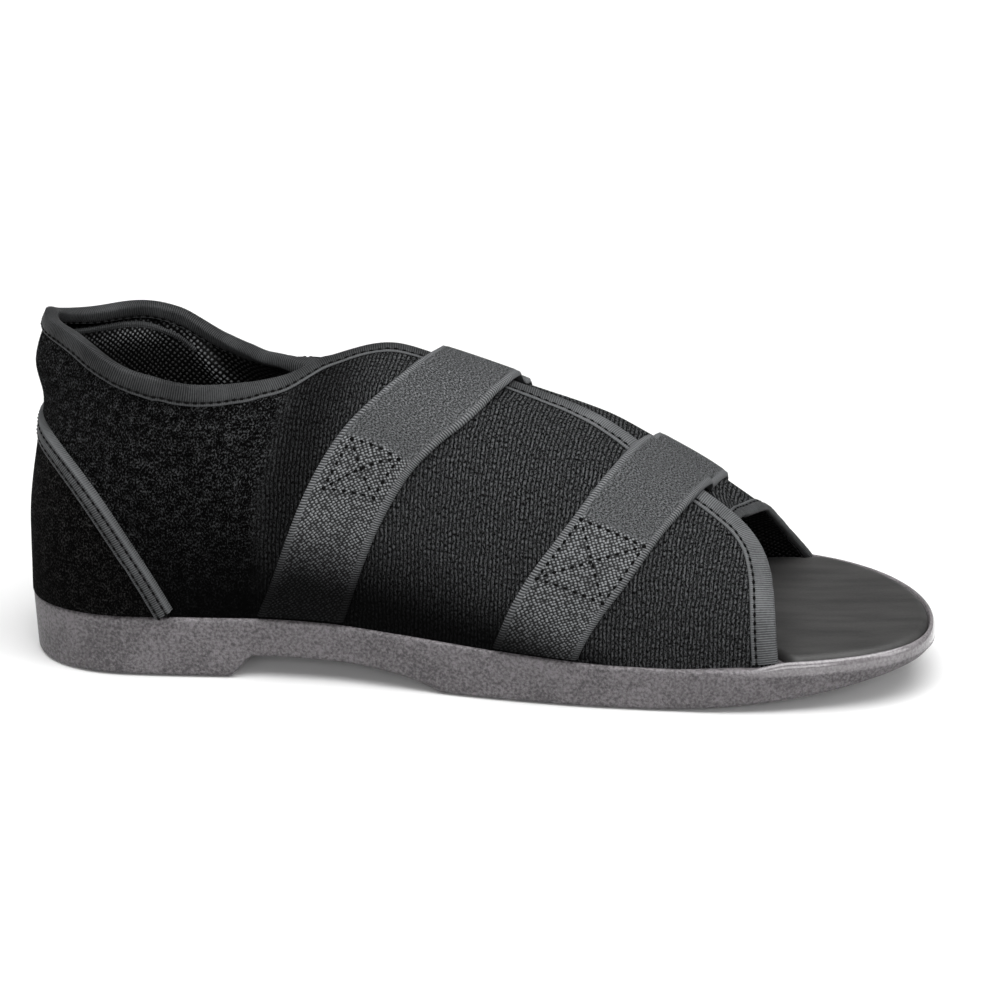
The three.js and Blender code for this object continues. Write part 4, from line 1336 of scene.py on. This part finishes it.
def sew(name, lines, pitch, stitch_length, thickness):
    """Stitches along the lines, with their sizes in millimetres."""
    points, edges = [], []
    for line in lines:
        start = len(points)
        points += in_frame(line).tolist()
        edges += [(start + i, start + i + 1) for i in range(len(line) - 1)]
    mesh = bpy.data.meshes.new(name + "_line")
    mesh.from_pydata(points, edges, [])
    guide = bpy.data.objects.new(name + "_line", mesh)
    bpy.context.scene.collection.objects.link(guide)
    needle = guide.modifiers.new("stitches", "NODES")
    needle.node_group = stitch_tree
    sizes = {"Pitch": pitch * MM, "Length": stitch_length * MM, "Thickness": thickness * MM}
    sizes["Thread"] = thread
    for socket, value in sizes.items():
        needle[stitch_sockets[socket]] = value
    sewn = bpy.data.meshes.new_from_object(guide.evaluated_get(bpy.context.evaluated_depsgraph_get()))
    sewn.name = name
    bpy.data.objects.remove(guide)
    seam = bpy.data.objects.new(name, sewn)
    bpy.context.scene.collection.objects.link(seam)
    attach(seam, "root")


tape_stitch_pitch = 2.6
sew("collar_stitches", collar_lines, tape_stitch_pitch, 1.7, 1.0)
sew("toe_stitches", toe_lines, tape_stitch_pitch, 1.6, 0.6)
sew("counter_stitches", counter_lines, tape_stitch_pitch, 1.6, 0.85)


# Straps
# Two lengths of one-inch hook-and-loop webbing, sewn to the near flap with a box of stitches and pressed
# on to the far one. The lower part shows its weave, the upper part is brushed, and both edges are
# ribbed selvedges.
strap_width = 25.4
strap_thickness = 1.7
strap_end = 1.74
strap_bridge = binding_thickness + 2 * clearance
rises_before_rim = (-0.28, -0.16)
falls_past_rim = (0.04, 0.24)
selvedge_band = (0.41, 0.425)
weave_pitch = 0.98
selvedge_pitch = 0.85
# Each strap's middle line, by turn, as a share of the length.
rear_strap = named_rows(
    "at x",
    (0, 0.31), (0.05, 0.3185), (0.2, 0.34), (0.3, 0.3565), (0.45, 0.3885), (0.6, 0.4295), (0.75, 0.462),
    (0.9, 0.4815), (1, 0.49), (1.3, 0.503), (1.8, 0.49),
)
front_strap = named_rows(
    "at x",
    (0, 0.57), (0.1, 0.585), (0.2, 0.6045), (0.3, 0.6265), (0.4, 0.646), (0.53, 0.6675), (0.67, 0.688),
    (0.8, 0.703), (1, 0.7205), (1.3, 0.725), (1.8, 0.7),
)


def strap_lift(q, turn):
    """A strap lies on the near flap, rises over its bound edge and comes down on the far flap."""
    rim = near_flap.rim_turn(np.abs(q) / length)
    past = rising(turn - rim, *falls_past_rim)
    over = rising(turn - rim, *rises_before_rim) * (1 - past)
    return clearance + strap_bridge * over - past * sink(-q, 2 - turn)


def strap_webbing():
    """Grey webbing: woven where it is sewn down, brushed above, ribbed along its selvedges."""
    material, tree, shader = new_material("strap_webbing", 0.62, Specular_IOR_Level=0.2)
    flat = add(tree, "ShaderNodeUVMap", uv_map="flat")
    knots = knots_of(tree, flat, weave_pitch, 45, 0.35, 0.5, 0.22)
    brushed = noise(tree, flat, 1.9, detail=3, stretch=(1.2, 0.8, 1), roughness=0.8)
    brushed = spread_between(tree, brushed, 0.44, 0.56)
    ribs = ribs_of(tree, flat, selvedge_pitch)
    sewn = mark(tree, "sewn")
    selvedge = mark(tree, "selvedge")
    low = mark(tree, "low")
    woven_tone = blended(tree, knots, grey(0.02, -0.03), grey(0.3, -0.03))
    brushed_tone = blended(tree, brushed, grey(0.025, -0.03), grey(0.2, -0.03))
    ribbed_tone = blended(tree, ribs, grey(0.03, -0.03), grey(0.24, -0.03))
    tone = blended(tree, selvedge, blended(tree, sewn, brushed_tone, woven_tone), ribbed_tone)
    # Painted shade: where the low mark says, the webbing is darkened nearly to black and its specular is
    # lowered.
    tone = blended(tree, scaled(tree, low, 0.96), tone, grey(0.002))
    tree.links.new(tone, shader.inputs["Base Color"])
    tree.links.new(spread_between(tree, low, 0, 1, 0.14, 0.02), shader.inputs["Specular IOR Level"])
    face = add(tree, "ShaderNodeMix", {0: sewn, 2: brushed, 3: knots})
    height = add(tree, "ShaderNodeMix", {0: selvedge, 2: face, 3: ribs})
    raise_surface(tree, shader, height, 0.25)
    return material


def strap_place(rows, turn, distance):
    """The place beside a strap's middle line at a turn. Below the sole's edge the line runs on straight."""
    x_at = curve_through(rows, "x")
    lean = (rows["x"][1] - rows["x"][0]) / (rows["at"][1] - rows["at"][0])
    step = 0.01

    def on_middle(t):
        x = x_at(np.maximum(t, 0)) + lean * np.minimum(t, 0)
        return -along(x * length), t

    q, turn = on_middle(turn)
    run = unit(skin(*on_middle(turn + step)) - skin(q, turn))
    sideways = unit(np.cross(frame_at(q, turn)[2], run))
    return walked(q, turn, sideways, distance)


def make_strap(name, rows, sewn_to):
    """A strap from the near side's sole to its end on the far flap. It gives its mesh, its outer face
    and the way along it."""
    foot_turn = 0.01
    across = np.linspace(-0.5, 0.5, 33)
    distance = across * strap_width
    start = np.full(len(across), foot_turn)
    for _ in range(5):
        start = start + foot_turn - strap_place(rows, start, distance)[1]
    t = np.linspace(0, 1, 171)[:, None]
    turn = mix(start[None, :], strap_end, t)
    q, to_turn = strap_place(rows, turn, distance[None, :])
    lift = strap_lift(q, to_turn)
    edge = round_end(np.abs(across) * 2, 14)[None, :]
    selvedge = rising(np.abs(across), *selvedge_band)[None, :]
    face = strap_thickness * (0.35 + 0.65 * edge) - 0.12 * selvedge * edge
    outer = lifted(q, to_turn, lift + face)
    inner = lifted(q, to_turn, lift + 0.3 * (1 - edge))
    steps = np.linalg.norm(np.diff(outer[:, len(across) // 2], axis=0), axis=1)
    run = np.concatenate([[0], np.cumsum(steps)])
    flat = tape_places(run, np.broadcast_to(distance, q.shape))
    sewn = 1 - rising(run[:, None], sewn_to + 1, sewn_to + 2.2)
    # The low mark is painted shade low over the sole.
    marks = {"sewn": sewn, "selvedge": selvedge, "low": painted_low_shade(q, outer)}
    return shell(name, outer, inner, flat, marks), outer, run


def on_strap(outer, run, s, across):
    """Points on a strap's face, from the way along it and the way across from its middle."""
    row = np.interp(s, run, np.arange(len(run)))
    column = (across / strap_width + 0.5) * (outer.shape[1] - 1)
    i, j = np.minimum(row.astype(int), len(run) - 2), np.minimum(column.astype(int), outer.shape[1] - 2)
    a, b = (row - i)[:, None], (column - j)[:, None]
    near_row = mix(outer[i, j], outer[i, j + 1], b)
    return mix(near_row, mix(outer[i + 1, j], outer[i + 1, j + 1], b), a)


def box_lines(outer, run, top, half, depth):
    """A box of stitches with a cross in it, below the given way along the strap."""
    corners = {"a": (top, -half), "b": (top, half), "c": (top - depth, half), "d": (top - depth, -half)}
    lines = []
    for start, end in ("ab", "bc", "cd", "da", "ac", "bd"):
        t = np.linspace(0, 1, 24)
        s = mix(corners[start][0], corners[end][0], t)
        across = mix(corners[start][1], corners[end][1], t)
        lines.append(on_strap(outer, run, s, across))
    return lines


webbing = strap_webbing()
# For each strap: its middle line, and its box of stitches as the way along the strap to its top, half its
# width and its depth.
strap_boxes = (("strap_rear", rear_strap, 61, 7.6, 16.5), ("strap_front", front_strap, 46, 10.2, 22))
for node, rows, box_top, box_half, box_depth in strap_boxes:
    strap_mesh, face, run = make_strap(node + "_webbing", rows, box_top)
    strap = finished(strap_mesh, [webbing, webbing], 50)
    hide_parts(node)
    sew(node + "_stitches", box_lines(face, run, box_top, box_half, box_depth), 2.8, 1.5, 0.95)
